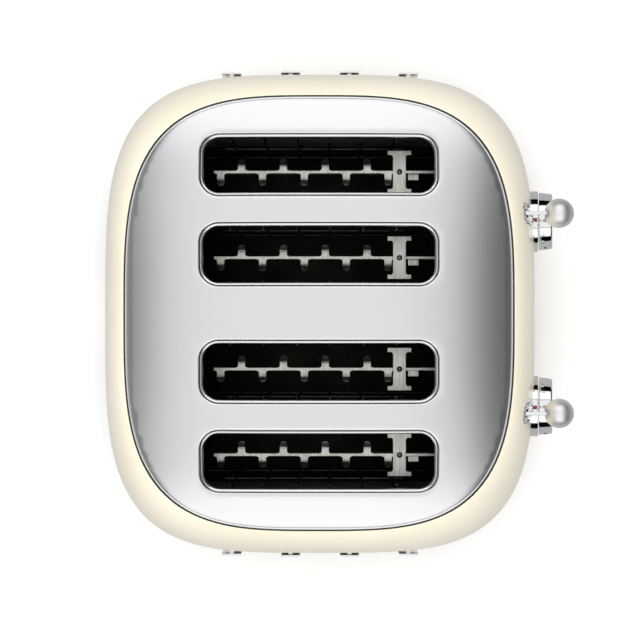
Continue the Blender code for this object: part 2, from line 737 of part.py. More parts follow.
def guide_wires(y):
    """One wire grid that stands beside the bread: a pivot rail, a cross rail and upright wires."""
    half = GUIDE_WIRE / 2
    pivot_x = PLATE_X + PLATE_WALL + GAP
    rail_x = (GUIDE_COUNT - 1) / 2 * GUIDE_PITCH + 8 * MM
    add = [
        box((-pivot_x, y - half, GUIDE_PIVOT_Z - half), (pivot_x, y + half, GUIDE_PIVOT_Z + half)),
        box(
            (GUIDE_SHIFT - rail_x, y - half, GUIDE_RAIL_Z - half),
            (GUIDE_SHIFT + rail_x, y + half, GUIDE_RAIL_Z + half),
        ),
    ]
    for i in range(GUIDE_COUNT):
        x = GUIDE_SHIFT + (i - (GUIDE_COUNT - 1) / 2) * GUIDE_PITCH
        add.append(box((x - half, y - half, GUIDE_PIVOT_Z), (x + half, y + half, GUIDE_TOP_Z)))
    return blocks(add)


def bread_guides():
    """Eight guides that close on the bread as the racks go down."""
    number = 1
    for centre in SLOT_CENTRES:
        for side in (1, -1):
            y = centre + side * GUIDE_OFFSET
            place(f"bread_guide_{number}", guide_wires(y), "spring_steel", (0, y, GUIDE_PIVOT_Z))
            number += 1


def rack_blocks(y):
    """One bread rack: an upright blade with fingers to both sides and a cross strap."""
    half = BLADE_WALL / 2
    add = [box((BLADE_REAR_X, y - half, RACK_Z - BLADE_HEIGHT), (CARRIAGE_X - GAP, y + half, RACK_Z))]
    places = [(FINGER_FIRST_X + i * FINGER_PITCH, -1) for i in range(FINGERS_NEAR)]
    places += [(FINGER_FIRST_X + (i + 0.5) * FINGER_PITCH, 1) for i in range(FINGERS_FAR)]
    for x, side in places:
        low_x, high_x = x - FINGER_WIDTH / 2, x + FINGER_WIDTH / 2
        near, bend, far = 0, side * FINGER_FLAT, side * FINGER_REACH
        add.append(box((low_x, y + min(near, far), RACK_Z - FINGER_WALL), (high_x, y + max(near, far), RACK_Z)))
        tip = RACK_Z - FINGER_WALL - FINGER_TIP
        add.append(box((low_x, y + min(bend, far), tip), (high_x, y + max(bend, far), RACK_Z)))
    low_z, high_z = RACK_Z - FINGER_WALL, RACK_Z - FINGER_WALL + STRAP_WALL
    span = STRAP_SPAN / 2
    add.append(box((STRAP_X - STRAP_WIDTH / 2, y - span, low_z), (STRAP_X + STRAP_WIDTH / 2, y + span, high_z)))
    for side in (1, -1):
        ends = sorted((side * span, side * (span - STRAP_END)))
        low = (STRAP_X - STRAP_END_WIDTH / 2, y + ends[0], low_z)
        add.append(box(low, (STRAP_X + STRAP_END_WIDTH / 2, y + ends[1], high_z)))
    tab_x = STRAP_X + TAB_GAP
    low = (tab_x, y - TAB_WIDTH, RACK_Z - BLADE_HEIGHT / 2)
    add.append(box(low, (tab_x + TAB_LENGTH, y, RACK_Z - BLADE_HEIGHT / 2 + FINGER_WALL)))
    return blocks(add)


def lifting_gear():
    """Racks, carriages, guide rods and return springs."""
    for number, centre in enumerate(SLOT_CENTRES, 1):
        place(f"bread_rack_{number}", rack_blocks(centre), "zinc_steel", (0, centre, RACK_Z))
    half_bar = SLOT_PITCH / 2 + CARRIAGE_OVERHANG
    half_hub = CARRIAGE_HUB_WIDTH / 2
    half_notch = ROD_RADIUS + ROD_CLEARANCE
    for number, pair in enumerate(PAIRS, 1):
        bar_low = (CARRIAGE_X, pair - half_bar, CARRIAGE_Z)
        bar_high = (CARRIAGE_X + CARRIAGE_BAR, pair + half_bar, CARRIAGE_Z + CARRIAGE_BAR_HEIGHT)
        hub_low = (CARRIAGE_X, pair - half_hub, CARRIAGE_Z)
        hub_high = (CARRIAGE_X + CARRIAGE_LENGTH, pair + half_hub, CARRIAGE_Z + CARRIAGE_HEIGHT)
        notch_high = (ROD_X + half_notch, pair + half_notch, CARRIAGE_Z + CARRIAGE_HEIGHT)
        notch = box((CARRIAGE_X, pair - half_notch, CARRIAGE_Z), notch_high)
        shape = blocks([box(bar_low, bar_high), box(hub_low, hub_high)], [notch])
        place(f"carriage_{number}", shape, "zinc_steel", (ROD_X, pair, CARRIAGE_Z))
        low_z = BASE_TOP_Z + GAP
        profile = [(ROD_RADIUS, low_z), (ROD_RADIUS, CHASSIS_TOP_Z - PLATE_WALL - GAP)]
        centre = (ROD_X, pair, 0)
        place(f"guide_rod_{number}", turned(profile, "Z", centre, 14), "spring_steel", centre, smooth=True)
        place(f"return_spring_{number}", spring_coil(pair, low_z, CARRIAGE_Z - GAP), "spring_steel", centre)


def spring_coil(pair, low_z, high_z):
    """A coil of wire round the guide rod, between the base and the carriage."""
    steps = SPRING_TURNS * 9
    wire = SPRING_WIRE / 2
    rings = []
    for i in range(steps + 1):
        angle = 2 * math.pi * SPRING_TURNS * i / steps
        z = low_z + wire + (high_z - low_z - 2 * wire) * i / steps
        outward = Vector((math.cos(angle), math.sin(angle), 0))
        centre = Vector((ROD_X, pair, z)) + outward * SPRING_RADIUS
        up = Vector((0, 0, 1))
        rings.append([centre + wire * (outward * a + up * b) for a, b in circle(1, 4)])
    return skin(rings, False)


def levers():
    """The arm, the ball and the slot frame of each lever."""
    socket_x = BALL_X - BALL_SOCKET
    for number, pair in enumerate(PAIRS, 1):
        low = (CARRIAGE_X + CARRIAGE_LENGTH + GAP, pair - ARM_WALL / 2, LEVER_Z - ARM_HEIGHT / 2)
        arm = blocks([box(low, (socket_x - GAP, pair + ARM_WALL / 2, LEVER_Z + ARM_HEIGHT / 2))])
        place(f"lever_arm_{number}", arm, "chrome")

        profile = []
        for i in range(1, 14):
            angle = math.pi * i / 14
            profile.append((BALL_RADIUS * math.sin(angle), -BALL_RADIUS * math.cos(angle)))
        centre = (BALL_X, pair, LEVER_Z)
        ball = place(f"lever_ball_{number}", turned(profile, "X", centre, 20), "chrome", centre, smooth=True)
        half_y = ARM_WALL / 2 + GAP
        half_z = ARM_HEIGHT / 2 + GAP
        low = (BALL_X - 2 * BALL_RADIUS, pair - half_y, LEVER_Z - half_z)
        socket = blocks([box(low, (socket_x, pair + half_y, LEVER_Z + half_z))])
        combine(ball, cutter(f"ball_socket_{number}", [socket]), "DIFFERENCE")

        margin = FRAME_HALF_WIDTH - FRAME_OPENING
        outer = stadium(pair, FRAME_HALF_WIDTH, FRAME_BOTTOM_Z, FRAME_TOP_Z)
        inner = stadium(pair, FRAME_OPENING, FRAME_BOTTOM_Z + margin, FRAME_TOP_Z - margin)
        rings = []
        for loop, out in ((outer, FRAME_PROUD), (inner, FRAME_PROUD), (inner, -FRAME_DEPTH), (outer, -FRAME_DEPTH)):
            rings.append([Vector((surface_x(y, z) + out, y, z)) for y, z in loop])
        place(f"lever_frame_{number}", skin(rings, True), "chrome", smooth=True)


def dials():
    """The fixed ring and the turning knob of each browning dial."""
    bore = SHAFT_RADIUS + SHAFT_CLEARANCE
    ring = [
        (bore, -RING_DEPTH),
        (RING_RADIUS, -RING_DEPTH),
        (RING_RADIUS, RING_PROUD - 1.2 * MM),
        (RING_RADIUS - 0.5 * MM, RING_PROUD),
        (bore, RING_PROUD),
    ]
    seat = RING_PROUD + RUNNING_GAP
    knob = [
        (SHAFT_RADIUS, -SHAFT_DEPTH),
        (SHAFT_RADIUS, seat),
        (KNOB_RADIUS, seat),
        (KNOB_TIP_RADIUS, KNOB_REACH - KNOB_EDGE),
        (KNOB_TIP_RADIUS - KNOB_EDGE, KNOB_REACH),
    ]
    for number, pair in enumerate(PAIRS, 1):
        origin = (DIAL_X, pair, DIAL_Z)
        place(f"dial_ring_{number}", dial_turned(ring, pair, closed=True), "chrome", origin, smooth=True)
        place(f"dial_knob_{number}", dial_turned(knob, pair), "chrome", origin, smooth=True)


def buttons():
    """Three push buttons below each dial."""
    number = 1
    for pair in PAIRS:
        for y in button_places(pair):
            face = surface_x(y, BUTTON_Z) + BUTTON_PROUD
            edge = 0.8 * MM
            profile = [
                (BUTTON_RADIUS, BUTTON_FACE_X - BUTTON_DEPTH),
                (BUTTON_RADIUS, face - edge),
                (BUTTON_RADIUS - edge, face),
            ]
            origin = (face, y, BUTTON_Z)
            place(f"button_{number}", turned(profile, "X", (0, y, BUTTON_Z), 14), "chrome", origin, smooth=True)
            number += 1


def control_board():
    """The circuit board behind the controls, with the dials' resistors and the magnets that hold the racks down."""
    half = BOARD_WIDTH / 2
    add = [box((BOARD_X, -half, BASE_TOP_Z + GAP), (BOARD_X + BOARD_WALL, half, BOARD_TOP_Z))]
    magnet_top = CARRIAGE_Z - LEVER_TRAVEL - GAP
    magnet_x = ROD_X + SPRING_RADIUS + SPRING_WIRE
    pot_x = DIAL_X - SHAFT_DEPTH - SHAFT_RADIUS * math.sin(DIAL_TILT) - GAP
    for pair in PAIRS:
        low = (magnet_x, pair - MAGNET_WIDTH / 2, magnet_top - MAGNET_HEIGHT)
        add.append(box(low, (BOARD_X, pair + MAGNET_WIDTH / 2, magnet_top)))
        low = (BOARD_X + BOARD_WALL, pair - POT_SIZE / 2, DIAL_Z - POT_SIZE / 2)
        add.append(box(low, (pot_x, pair + POT_SIZE / 2, DIAL_Z + POT_SIZE / 2)))
    place("control_board", blocks(add), "circuit_board")


def crumb_trays():
    """Two trays that catch crumbs, with fronts that continue the shell's surface."""
    back_x = PLATE_X - 2 * MM
    top = TRAY_BOTTOM_Z + TRAY_HEIGHT
    half = TRAY_WIDTH / 2
    wall = TRAY_WALL
    for number, pair in enumerate(PAIRS, 1):
        front_half = half + TRAY_FRONT_MARGIN
        nearest = surface_x(abs(pair) + front_half, SHELL_BOTTOM_Z) - TRAY_FRONT_DEPTH
        outer = box((-nearest - 1 * MM, pair - half, TRAY_BOTTOM_Z), (back_x, pair + half, top))
        low = (-nearest + wall, pair - half + wall, TRAY_BOTTOM_Z + wall)
        hollow = box(low, (back_x - wall, pair + half - wall, top))
        origin = (-nearest, pair, TRAY_BOTTOM_Z)
        tray = place(f"crumb_tray_{number}", blocks([outer], [hollow]), "satin_steel", origin)
        rings = []
        low_z, high_z = SHELL_BOTTOM_Z + GAP, TRAY_FRONT_TOP_Z
        for i in range(9):
            y = pair - front_half + 2 * front_half * i / 8
            low_x, high_x = -surface_x(y, low_z), -surface_x(y, high_z)
            corners = ((low_x, low_z), (high_x, high_z), (-nearest, high_z), (-nearest, low_z))
            rings.append([Vector((x, y, z)) for x, z in corners])
        combine(tray, cutter(f"tray_front_{number}", [skin(rings, False)]), "UNION")


def trim_places():
    """The middles of the trim tabs along X."""
    return [(i - (TRIM_COUNT - 1) / 2) * TRIM_PITCH for i in range(TRIM_COUNT)]


def trim_strips():
    """Plain tabs on each long side, on studs that join them to a strip inside the shell."""
    strip_half = (TRIM_COUNT - 1) / 2 * TRIM_PITCH + 5 * MM
    strip_y = surface_y(strip_half, WIDEST_Z + TRIM_STRIP_HEIGHT / 2) - SHELL_WALL - 0.4 * MM
    stud = TRIM_STUD / 2
    for number, side in enumerate((1, -1), 1):
        ends = sorted((side * strip_y, side * (strip_y - TRIM_STRIP_WALL)))
        low = (-strip_half, ends[0], WIDEST_Z - TRIM_STRIP_HEIGHT / 2)
        add = [box(low, (strip_half, ends[1], WIDEST_Z + TRIM_STRIP_HEIGHT / 2))]
        for x in trim_places():
            nearest = min(abs(x - TRIM_WIDTH / 2), abs(x + TRIM_WIDTH / 2))
            back = surface_y(nearest, WIDEST_Z) + GAP
            ends = sorted((side * back, side * (back + TRIM_WALL)))
            low = (x - TRIM_WIDTH / 2, ends[0], WIDEST_Z - TRIM_HEIGHT / 2)
            add.append(box(low, (x + TRIM_WIDTH / 2, ends[1], WIDEST_Z + TRIM_HEIGHT / 2)))
            ends = sorted((side * strip_y, side * back))
            add.append(box((x - stud, ends[0], WIDEST_Z - stud), (x + stud, ends[1], WIDEST_Z + stud)))
        place(f"trim_strip_{number}", blocks(add), "chrome")


def build():
    """Makes the whole toaster."""
    clear_scene()
    body_shell()
    top_panel()
    panel_seal()
    base_skirt()
    base_plate()
    feet()
    cord_gland()
    end_plates()
    heaters()
    bread_guides()
    lifting_gear()
    levers()
    dials()
    buttons()
    control_board()
    crumb_trays()
    trim_strips()


build()
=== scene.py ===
"""Four-slot pop-up toaster: the finish of every piece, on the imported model.

The slots run along X and the controls are on the +X end. Heights are from the table. Places along X are
worked out about the middle of the body, which the frame gives as body_x, and along Y about 0.
"""

import itertools
import math

import bmesh
import bpy
from mathutils import Matrix, Vector
from mathutils.geometry import delaunay_2d_cdt


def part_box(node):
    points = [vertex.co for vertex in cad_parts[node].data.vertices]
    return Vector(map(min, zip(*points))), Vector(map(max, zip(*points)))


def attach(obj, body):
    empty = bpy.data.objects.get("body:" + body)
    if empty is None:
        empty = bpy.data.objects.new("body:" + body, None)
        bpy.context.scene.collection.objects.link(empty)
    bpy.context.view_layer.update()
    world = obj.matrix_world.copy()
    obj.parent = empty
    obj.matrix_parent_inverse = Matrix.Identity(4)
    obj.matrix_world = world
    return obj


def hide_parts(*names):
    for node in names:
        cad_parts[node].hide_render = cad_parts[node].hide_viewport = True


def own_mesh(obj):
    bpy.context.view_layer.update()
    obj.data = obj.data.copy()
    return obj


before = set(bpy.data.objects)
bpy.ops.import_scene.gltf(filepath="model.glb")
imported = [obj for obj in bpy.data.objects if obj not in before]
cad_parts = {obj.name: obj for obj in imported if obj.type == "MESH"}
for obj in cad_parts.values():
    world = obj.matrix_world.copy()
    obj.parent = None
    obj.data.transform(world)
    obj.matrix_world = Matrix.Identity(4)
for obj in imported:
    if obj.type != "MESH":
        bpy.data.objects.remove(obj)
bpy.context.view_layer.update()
MM = 0.001

# Body, as in the frame
BODY_WIDTH = 305.8 * MM
BODY_DEPTH = 340.6 * MM
BODY_POWER = 3.8
WIDEST_Z = 60 * MM
SHELL_BOTTOM_Z = 18.3 * MM
LOWER_TUCK = 2.5 * MM
ROLL_POWER = 3.5
ROLL_SPAN = 0.985
WALL_LEAN = 0.6
SHELL_WALL = 2 * MM
RIM_DROP = 3.5 * MM
RIM_ROUND = 0.7 * MM
EDGE_Z = 195 * MM
CREST_Z = 214 * MM

# Top panel
PANEL_WIDTH = 242 * MM
PANEL_DEPTH = 270 * MM
PANEL_POWER = 3.35
PANEL_WALL = 1.2 * MM
DOME_POWER = 2.2
PANEL_LIP = 4 * MM
PANEL_ROUND = 1.3 * MM
BEAD_RADIUS = 0.6 * MM
SEAM = 1.3 * MM
SLOT_LENGTH = 147 * MM
SLOT_WIDTH = 38 * MM
SLOT_CORNER = 11.5 * MM
SLOT_LIP = 8 * MM
SLOT_ROUND = 2.2 * MM
LEDGE = 1.1 * MM
SLOT_PITCH = 55.9 * MM
PAIR_Y = 64.25 * MM
PANEL_GRID = 3.4 * MM

# Base
SKIRT_BOTTOM_Z = 6 * MM
SKIRT_TOP_Z = 18 * MM
SKIRT_INSET = 1 * MM
SKIRT_TAPER = 1.5 * MM
SKIRT_WALL = 2 * MM
FOOT_X = 100 * MM
FOOT_Y = 112 * MM
GLAND_X = -100 * MM
TRAY_SHADE_X = -128 * MM

# Racks, guides, elements and rivets
RACK_Z = 153.2 * MM
BLADE_WALL = 2 * MM
BLADE_HEIGHT = 12 * MM
BLADE_REAR_X = -69 * MM
BLADE_FRONT_X = 97.7 * MM
FINGER_WIDTH = 4.9 * MM
FINGER_ROOT = 8.8 * MM
FINGER_SHEET = 1.2 * MM
FINGER_PITCH = 27.3 * MM
FINGER_FIRST_X = -64.4 * MM
STRAP_X = 52.2 * MM
STRAP_WIDTH = 8.6 * MM
STRAP_END_WIDTH = 15.7 * MM
STRAP_END = 3 * MM
STRAP_SPAN = 28 * MM
STRAP_TOP_Z = 153.8 * MM
STRAP_SHEET = 1.8 * MM
TAB_X = 57.9 * MM
TAB_SIZE = (7.2 * MM, 5 * MM, 1.2 * MM)
GUIDE_WIRE = 1.6 * MM
GUIDE_PITCH = 21.1 * MM
GUIDE_SHIFT = -3.7 * MM
GUIDE_OFFSET = 20.5 * MM
GUIDE_PIVOT_Z = 48 * MM
GUIDE_RAIL_Z = 103 * MM
GUIDE_TOP_Z = 183 * MM
GUIDE_BEND = 3.2 * MM
ELEMENT_HALF = 85.7 * MM
ELEMENT_BOTTOM_Z = 55 * MM
ELEMENT_TOP_Z = 172 * MM
ELEMENT_ROWS = 11
RIBBON_WIDTH = 1.6 * MM
RIBBON_SHEET = 0.15 * MM
NOTCH = 1.2 * MM
RIVET_X = 87.5 * MM
RIVET_Z = 168 * MM
RIVET_PLACES = [y * MM for y in (-118, -36, 0, 36, 118)]

# Lifting gear
ROD_X = 108 * MM
ROD_RADIUS = 3 * MM
ROD_END_RADIUS = 2.6 * MM
SPRING_RADIUS = 5.2 * MM
SPRING_WIRE = 1.2 * MM
SPRING_TURNS = 10
SPRING_BOTTOM_Z = 9.8 * MM
SPRING_TOP_Z = 141.9 * MM

# Levers, dials and buttons
LEVER_Z = 168 * MM
BALL_X = 154.07 * MM
BALL_RADIUS = 9.45 * MM
FRAME_HALF_WIDTH = 6.2 * MM
FRAME_OPENING = 2.8 * MM
FRAME_BOTTOM_Z = 108.6 * MM
FRAME_TOP_Z = 177.4 * MM
FRAME_PROUD = 0.6 * MM
FRAME_DEPTH = 2.5 * MM
DIAL_Z = 84.2 * MM
DIAL_TILT = math.radians(8)
RING_RADIUS = 21 * MM
RING_PROUD = 3.6 * MM
RING_DEPTH = 6.6 * MM
KNOB_RADIUS = 20 * MM
KNOB_SEAT = 4.1 * MM
KNOB_REACH = 13.3 * MM
SHAFT_RADIUS = 3 * MM
SHAFT_DEPTH = 9.6 * MM
BUTTON_Z = 50.2 * MM
BUTTON_RADIUS = 5 * MM
BUTTON_PITCH = 14 * MM
CLEARANCE = 0.4 * MM

# Capacitors on the control board
CAP_X = 122.42 * MM
CAP_RADIUS = 4 * MM
CAP_LENGTH = 9.6 * MM
CAP_OFFSET = 22 * MM
CAP_Z = 30 * MM

# Trim tabs
TRIM_PLACES = [(step - 1.5) * 41.9 * MM for step in range(4)]
TRIM_STUD = 3 * MM

PAIRS = (PAIR_Y, -PAIR_Y)
SLOT_CENTRES = [pair + side * SLOT_PITCH / 2 for pair in PAIRS for side in (1, -1)]
shell_low, shell_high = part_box("body_shell")
body_x = (shell_low.x + shell_high.x) / 2


# ---- Finishes ----


def colour(code):
    """An sRGB hex colour as the linear colour that a shader takes."""
    channels = [int(code[i : i + 2], 16) / 255 for i in (1, 3, 5)]
    return (*(c / 12.92 if c <= 0.04045 else ((c + 0.055) / 1.055) ** 2.4 for c in channels), 1)


def add(tree, kind, values=(), links=(), **settings):
    """Adds a shader node with its settings, its (socket, value) pairs and its (socket, output) links."""
    made = tree.nodes.new(kind)
    for name, value in settings.items():
        setattr(made, name, value)
    for socket, value in values:
        made.inputs[socket].default_value = value
    for socket, output in links:
        tree.links.new(output, made.inputs[socket])
    return made


def ramp_stops(ramp, stops):
    """Sets a colour ramp's (place, hex colour) stops."""
    elements = ramp.color_ramp.elements
    while len(elements) < len(stops):
        elements.new(0.5)
    for element, (place, code) in zip(elements, stops):
        element.position = place
        element.color = colour(code)


def surface(name, **values):
    """A new material: its node tree and its shader, with these constant values set on the shader."""
    material = bpy.data.materials.new(name)
    material.use_nodes = True
    tree = material.node_tree
    shader = tree.nodes["Principled BSDF"]
    for socket, value in values.items():
        shader.inputs[socket.replace("_", " ")].default_value = value
    return material, tree, shader


def baked_cream_enamel():
    """Enamel sprayed on steel and baked: warm, glossy, with the shallow dimples of a sprayed coat."""
    material, tree, shader = surface(
        "baked_cream_enamel", Roughness=0.35, IOR=1.5, Coat_Weight=0.4, Coat_Roughness=0.06
    )
    place = add(tree, "ShaderNodeTexCoord").outputs["Object"]
    # The coat is very slightly thicker in places: patches about 60 mm across.
    patches = add(tree, "ShaderNodeTexNoise", [("Scale", 16.0), ("Detail", 1.0)], [("Vector", place)])
    tint = add(tree, "ShaderNodeValToRGB", links=[("Fac", patches.outputs["Fac"])])
    ramp_stops(tint, [(0.3, "#f0e8d1"), (0.7, "#f4edd9")])
    tree.links.new(tint.outputs["Color"], shader.inputs["Base Color"])
    # Dimples are about 1.5 mm across and 2 thousandths of a millimetre deep.
    dimples = add(tree, "ShaderNodeTexNoise", [("Scale", 650.0), ("Detail", 0.0)], [("Vector", place)])
    bump = add(
        tree,
        "ShaderNodeBump",
        [("Strength", 0.25), ("Distance", 0.00001)],
        [("Height", dimples.outputs["Fac"])],
    )
    tree.links.new(bump.outputs["Normal"], shader.inputs["Normal"])
    return material


def satin_stainless():
    """Stainless sheet, finely brushed along the slots: soft wide reflections, faint lines."""
    material, tree, shader = surface("satin_stainless", Metallic=1.0)
    place = add(tree, "ShaderNodeTexCoord").outputs["Object"]
    # Real grit lines are under 0.1 mm apart, so they are drawn at 0.5 mm to show, and about 40 mm long.
    stretched = add(tree, "ShaderNodeMapping", [("Scale", (25.0, 2000.0, 2000.0))], [("Vector", place)])
    lines = add(
        tree,
        "ShaderNodeTexNoise",
        [("Scale", 1.0), ("Detail", 3.0), ("Roughness", 0.6)],
        [("Vector", stretched.outputs["Vector"])],
    )
    shade = add(tree, "ShaderNodeValToRGB", links=[("Fac", lines.outputs["Fac"])])
    ramp_stops(shade, [(0.25, "#dadadb"), (0.75, "#dfdfe1")])
    tree.links.new(shade.outputs["Color"], shader.inputs["Base Color"])
    gloss = add(
        tree,
        "ShaderNodeMapRange",
        [("To Min", 0.27), ("To Max", 0.33)],
        [("Value", lines.outputs["Fac"])],
    )
    tree.links.new(gloss.outputs["Result"], shader.inputs["Roughness"])
    bump = add(
        tree,
        "ShaderNodeBump",
        [("Strength", 0.05), ("Distance", 0.00002)],
        [("Height", lines.outputs["Fac"])],
    )
    tree.links.new(bump.outputs["Normal"], shader.inputs["Normal"])
    return material


def polished_chrome():
    """Chromium plate over polished zinc: a near mirror with a haze of fine wiping marks."""
    material, tree, shader = surface("polished_chrome", Metallic=1.0, Base_Color=colour("#e4e5e7"))
    place = add(tree, "ShaderNodeTexCoord").outputs["Object"]
    # The marks are about 3 mm across, with finer ones inside.
    marks = add(
        tree,
        "ShaderNodeTexNoise",
        [("Scale", 320.0), ("Detail", 4.0), ("Roughness", 0.7), ("Distortion", 1.5)],
        [("Vector", place)],
    )
    gloss = add(
        tree,
        "ShaderNodeMapRange",
        [("From Min", 0.3), ("From Max", 0.75), ("To Min", 0.07), ("To Max", 0.12)],
        [("Value", marks.outputs["Fac"])],
    )
    tree.links.new(gloss.outputs["Result"], shader.inputs["Roughness"])
    return material


def galvanised_sheet():
    """Hot-dipped zinc on pressed steel: grey-green spangles, some brighter than others."""
    material, tree, shader = surface("galvanised_sheet", Metallic=1.0)
    place = add(tree, "ShaderNodeTexCoord").outputs["Object"]
    # Spangles are about 4 mm across.
    spangles = add(
        tree,
        "ShaderNodeTexVoronoi",
        [("Scale", 250.0), ("Randomness", 1.0)],
        [("Vector", place)],
    )
    grey = add(tree, "ShaderNodeRGBToBW", links=[("Color", spangles.outputs["Color"])])
    shade = add(tree, "ShaderNodeValToRGB", links=[("Fac", grey.outputs["Val"])])
    ramp_stops(shade, [(0.15, "#bfc3bb"), (0.5, "#ced2ca"), (0.9, "#e2e5de")])
    # Rolling leaves faint streaks along Y, about 1 mm apart.
    streaked = add(tree, "ShaderNodeMapping", [("Scale", (900.0, 60.0, 900.0))], [("Vector", place)])
    streaks = add(
        tree,
        "ShaderNodeTexNoise",
        [("Scale", 1.0), ("Detail", 2.0)],
        [("Vector", streaked.outputs["Vector"])],
    )
    dark = add(tree, "ShaderNodeValToRGB", links=[("Fac", streaks.outputs["Fac"])])
    ramp_stops(dark, [(0.35, "#dcdeda"), (0.6, "#ffffff")])
    both = add(
        tree,
        "ShaderNodeMix",
        [(0, 0.8)],
        [(6, shade.outputs["Color"]), (7, dark.outputs["Color"])],
        data_type="RGBA",
        blend_type="MULTIPLY",
    )
    tree.links.new(both.outputs[2], shader.inputs["Base Color"])
    gloss = add(
        tree,
        "ShaderNodeMapRange",
        [("To Min", 0.3), ("To Max", 0.46)],
        [("Value", grey.outputs["Val"])],
    )
    tree.links.new(gloss.outputs["Result"], shader.inputs["Roughness"])
    return material


def drawn_steel_wire():
    """Steel wire darkened by heat: grey, with browner and shinier patches."""
    material, tree, shader = surface("drawn_steel_wire", Metallic=1.0)
    place = add(tree, "ShaderNodeTexCoord").outputs["Object"]
    # Heat colours change over about 15 mm.
    heat = add(tree, "ShaderNodeTexNoise", [("Scale", 65.0), ("Detail", 2.0)], [("Vector", place)])
    shade = add(tree, "ShaderNodeValToRGB", links=[("Fac", heat.outputs["Fac"])])
    ramp_stops(shade, [(0.3, "#55504b"), (0.7, "#767370")])
    tree.links.new(shade.outputs["Color"], shader.inputs["Base Color"])
    gloss = add(
        tree,
        "ShaderNodeMapRange",
        [("To Min", 0.25), ("To Max", 0.42)],
        [("Value", heat.outputs["Fac"])],
    )
    tree.links.new(gloss.outputs["Result"], shader.inputs["Roughness"])
    return material


def pressed_mica():
    """Pressed mica board, painted dark olive as painted shade inside the body, with paler flakes at random.
    """
    material, tree, shader = surface("pressed_mica", IOR=1.58, Sheen_Weight=0.1, Roughness=0.55)
    place = add(tree, "ShaderNodeTexCoord").outputs["Object"]
    # Flakes are about 3 mm across.
    flakes = add(tree, "ShaderNodeTexVoronoi", [("Scale", 330.0)], [("Vector", place)])
    grey = add(tree, "ShaderNodeRGBToBW", links=[("Color", flakes.outputs["Color"])])
    # Painted shade: the board's olive is darkened nearly to black for the shade inside the body.
    shade = add(tree, "ShaderNodeValToRGB", links=[("Fac", grey.outputs["Val"])])
    ramp_stops(shade, [(0.1, "#1c1a13"), (0.6, "#262319"), (0.95, "#3a3629")])
    tree.links.new(shade.outputs["Color"], shader.inputs["Base Color"])
    bump = add(
        tree,
        "ShaderNodeBump",
        [("Strength", 0.3), ("Distance", 0.00005)],
        [("Height", grey.outputs["Val"])],
    )
    tree.links.new(bump.outputs["Normal"], shader.inputs["Normal"])
    return material


def oxidised_nichrome():
    """Nickel-chrome ribbon after its first heating: a dull bronze-grey skin of oxide."""
    material, tree, shader = surface("oxidised_nichrome", Metallic=0.9, Roughness=0.48)
    place = add(tree, "ShaderNodeTexCoord").outputs["Object"]
    # Oxide is thicker in patches about 8 mm long.
    oxide = add(tree, "ShaderNodeTexNoise", [("Scale", 120.0), ("Detail", 2.0)], [("Vector", place)])
    shade = add(tree, "ShaderNodeValToRGB", links=[("Fac", oxide.outputs["Fac"])])
    ramp_stops(shade, [(0.3, "#3d372f"), (0.7, "#5c544a")])
    tree.links.new(shade.outputs["Color"], shader.inputs["Base Color"])
    return material


def moulded_nitrile():
    """Nitrile rubber from a fine-blasted mould: matt black with a soft stipple."""
    material, tree, shader = surface("moulded_nitrile", Roughness=0.75, IOR=1.52)
    place = add(tree, "ShaderNodeTexCoord").outputs["Object"]
    # The mould's stipple is about 0.4 mm, drawn at 0.8 mm to show.
    stipple = add(tree, "ShaderNodeTexNoise", [("Scale", 1250.0), ("Detail", 1.0)], [("Vector", place)])
    shade = add(tree, "ShaderNodeValToRGB", links=[("Fac", stipple.outputs["Fac"])])
    ramp_stops(shade, [(0.3, "#141414"), (0.7, "#1e1e1e")])
    tree.links.new(shade.outputs["Color"], shader.inputs["Base Color"])
    bump = add(
        tree,
        "ShaderNodeBump",
        [("Strength", 0.4), ("Distance", 0.00008)],
        [("Height", stipple.outputs["Fac"])],
    )
    tree.links.new(bump.outputs["Normal"], shader.inputs["Normal"])
    return material


def moulded_nylon():
    """Black nylon, moulded: semi-matt with a faint spark-eroded grain."""
    material, tree, shader = surface("moulded_nylon", IOR=1.53)
    place = add(tree, "ShaderNodeTexCoord").outputs["Object"]
    # The grain is about 0.3 mm, drawn at 0.6 mm to show.
    grain = add(tree, "ShaderNodeTexNoise", [("Scale", 1600.0), ("Detail", 2.0)], [("Vector", place)])
    shade = add(tree, "ShaderNodeValToRGB", links=[("Fac", grain.outputs["Fac"])])
    ramp_stops(shade, [(0.3, "#1a1b1d"), (0.7, "#242528")])
    tree.links.new(shade.outputs["Color"], shader.inputs["Base Color"])
    gloss = add(
        tree,
        "ShaderNodeMapRange",
        [("To Min", 0.42), ("To Max", 0.58)],
        [("Value", grain.outputs["Fac"])],
    )
    tree.links.new(gloss.outputs["Result"], shader.inputs["Roughness"])
    return material


def green_laminate():
    """Glass and epoxy laminate under green solder mask: glossy, with tracks showing through."""
    material, tree, shader = surface("green_laminate", Roughness=0.3, IOR=1.5)
    place = add(tree, "ShaderNodeTexCoord").outputs["Object"]
    # The lighter lines are tracks, in rows about 4 mm apart.
    tracks = add(
        tree,
        "ShaderNodeTexBrick",
        [
            ("Color1", colour("#1c5231")),
            ("Color2", colour("#236039")),
            ("Mortar", colour("#2f7a4b")),
            ("Scale", 60.0),
            ("Mortar Size", 0.03),
        ],
        [("Vector", place)],
    )
    tree.links.new(tracks.outputs["Color"], shader.inputs["Base Color"])
    return material


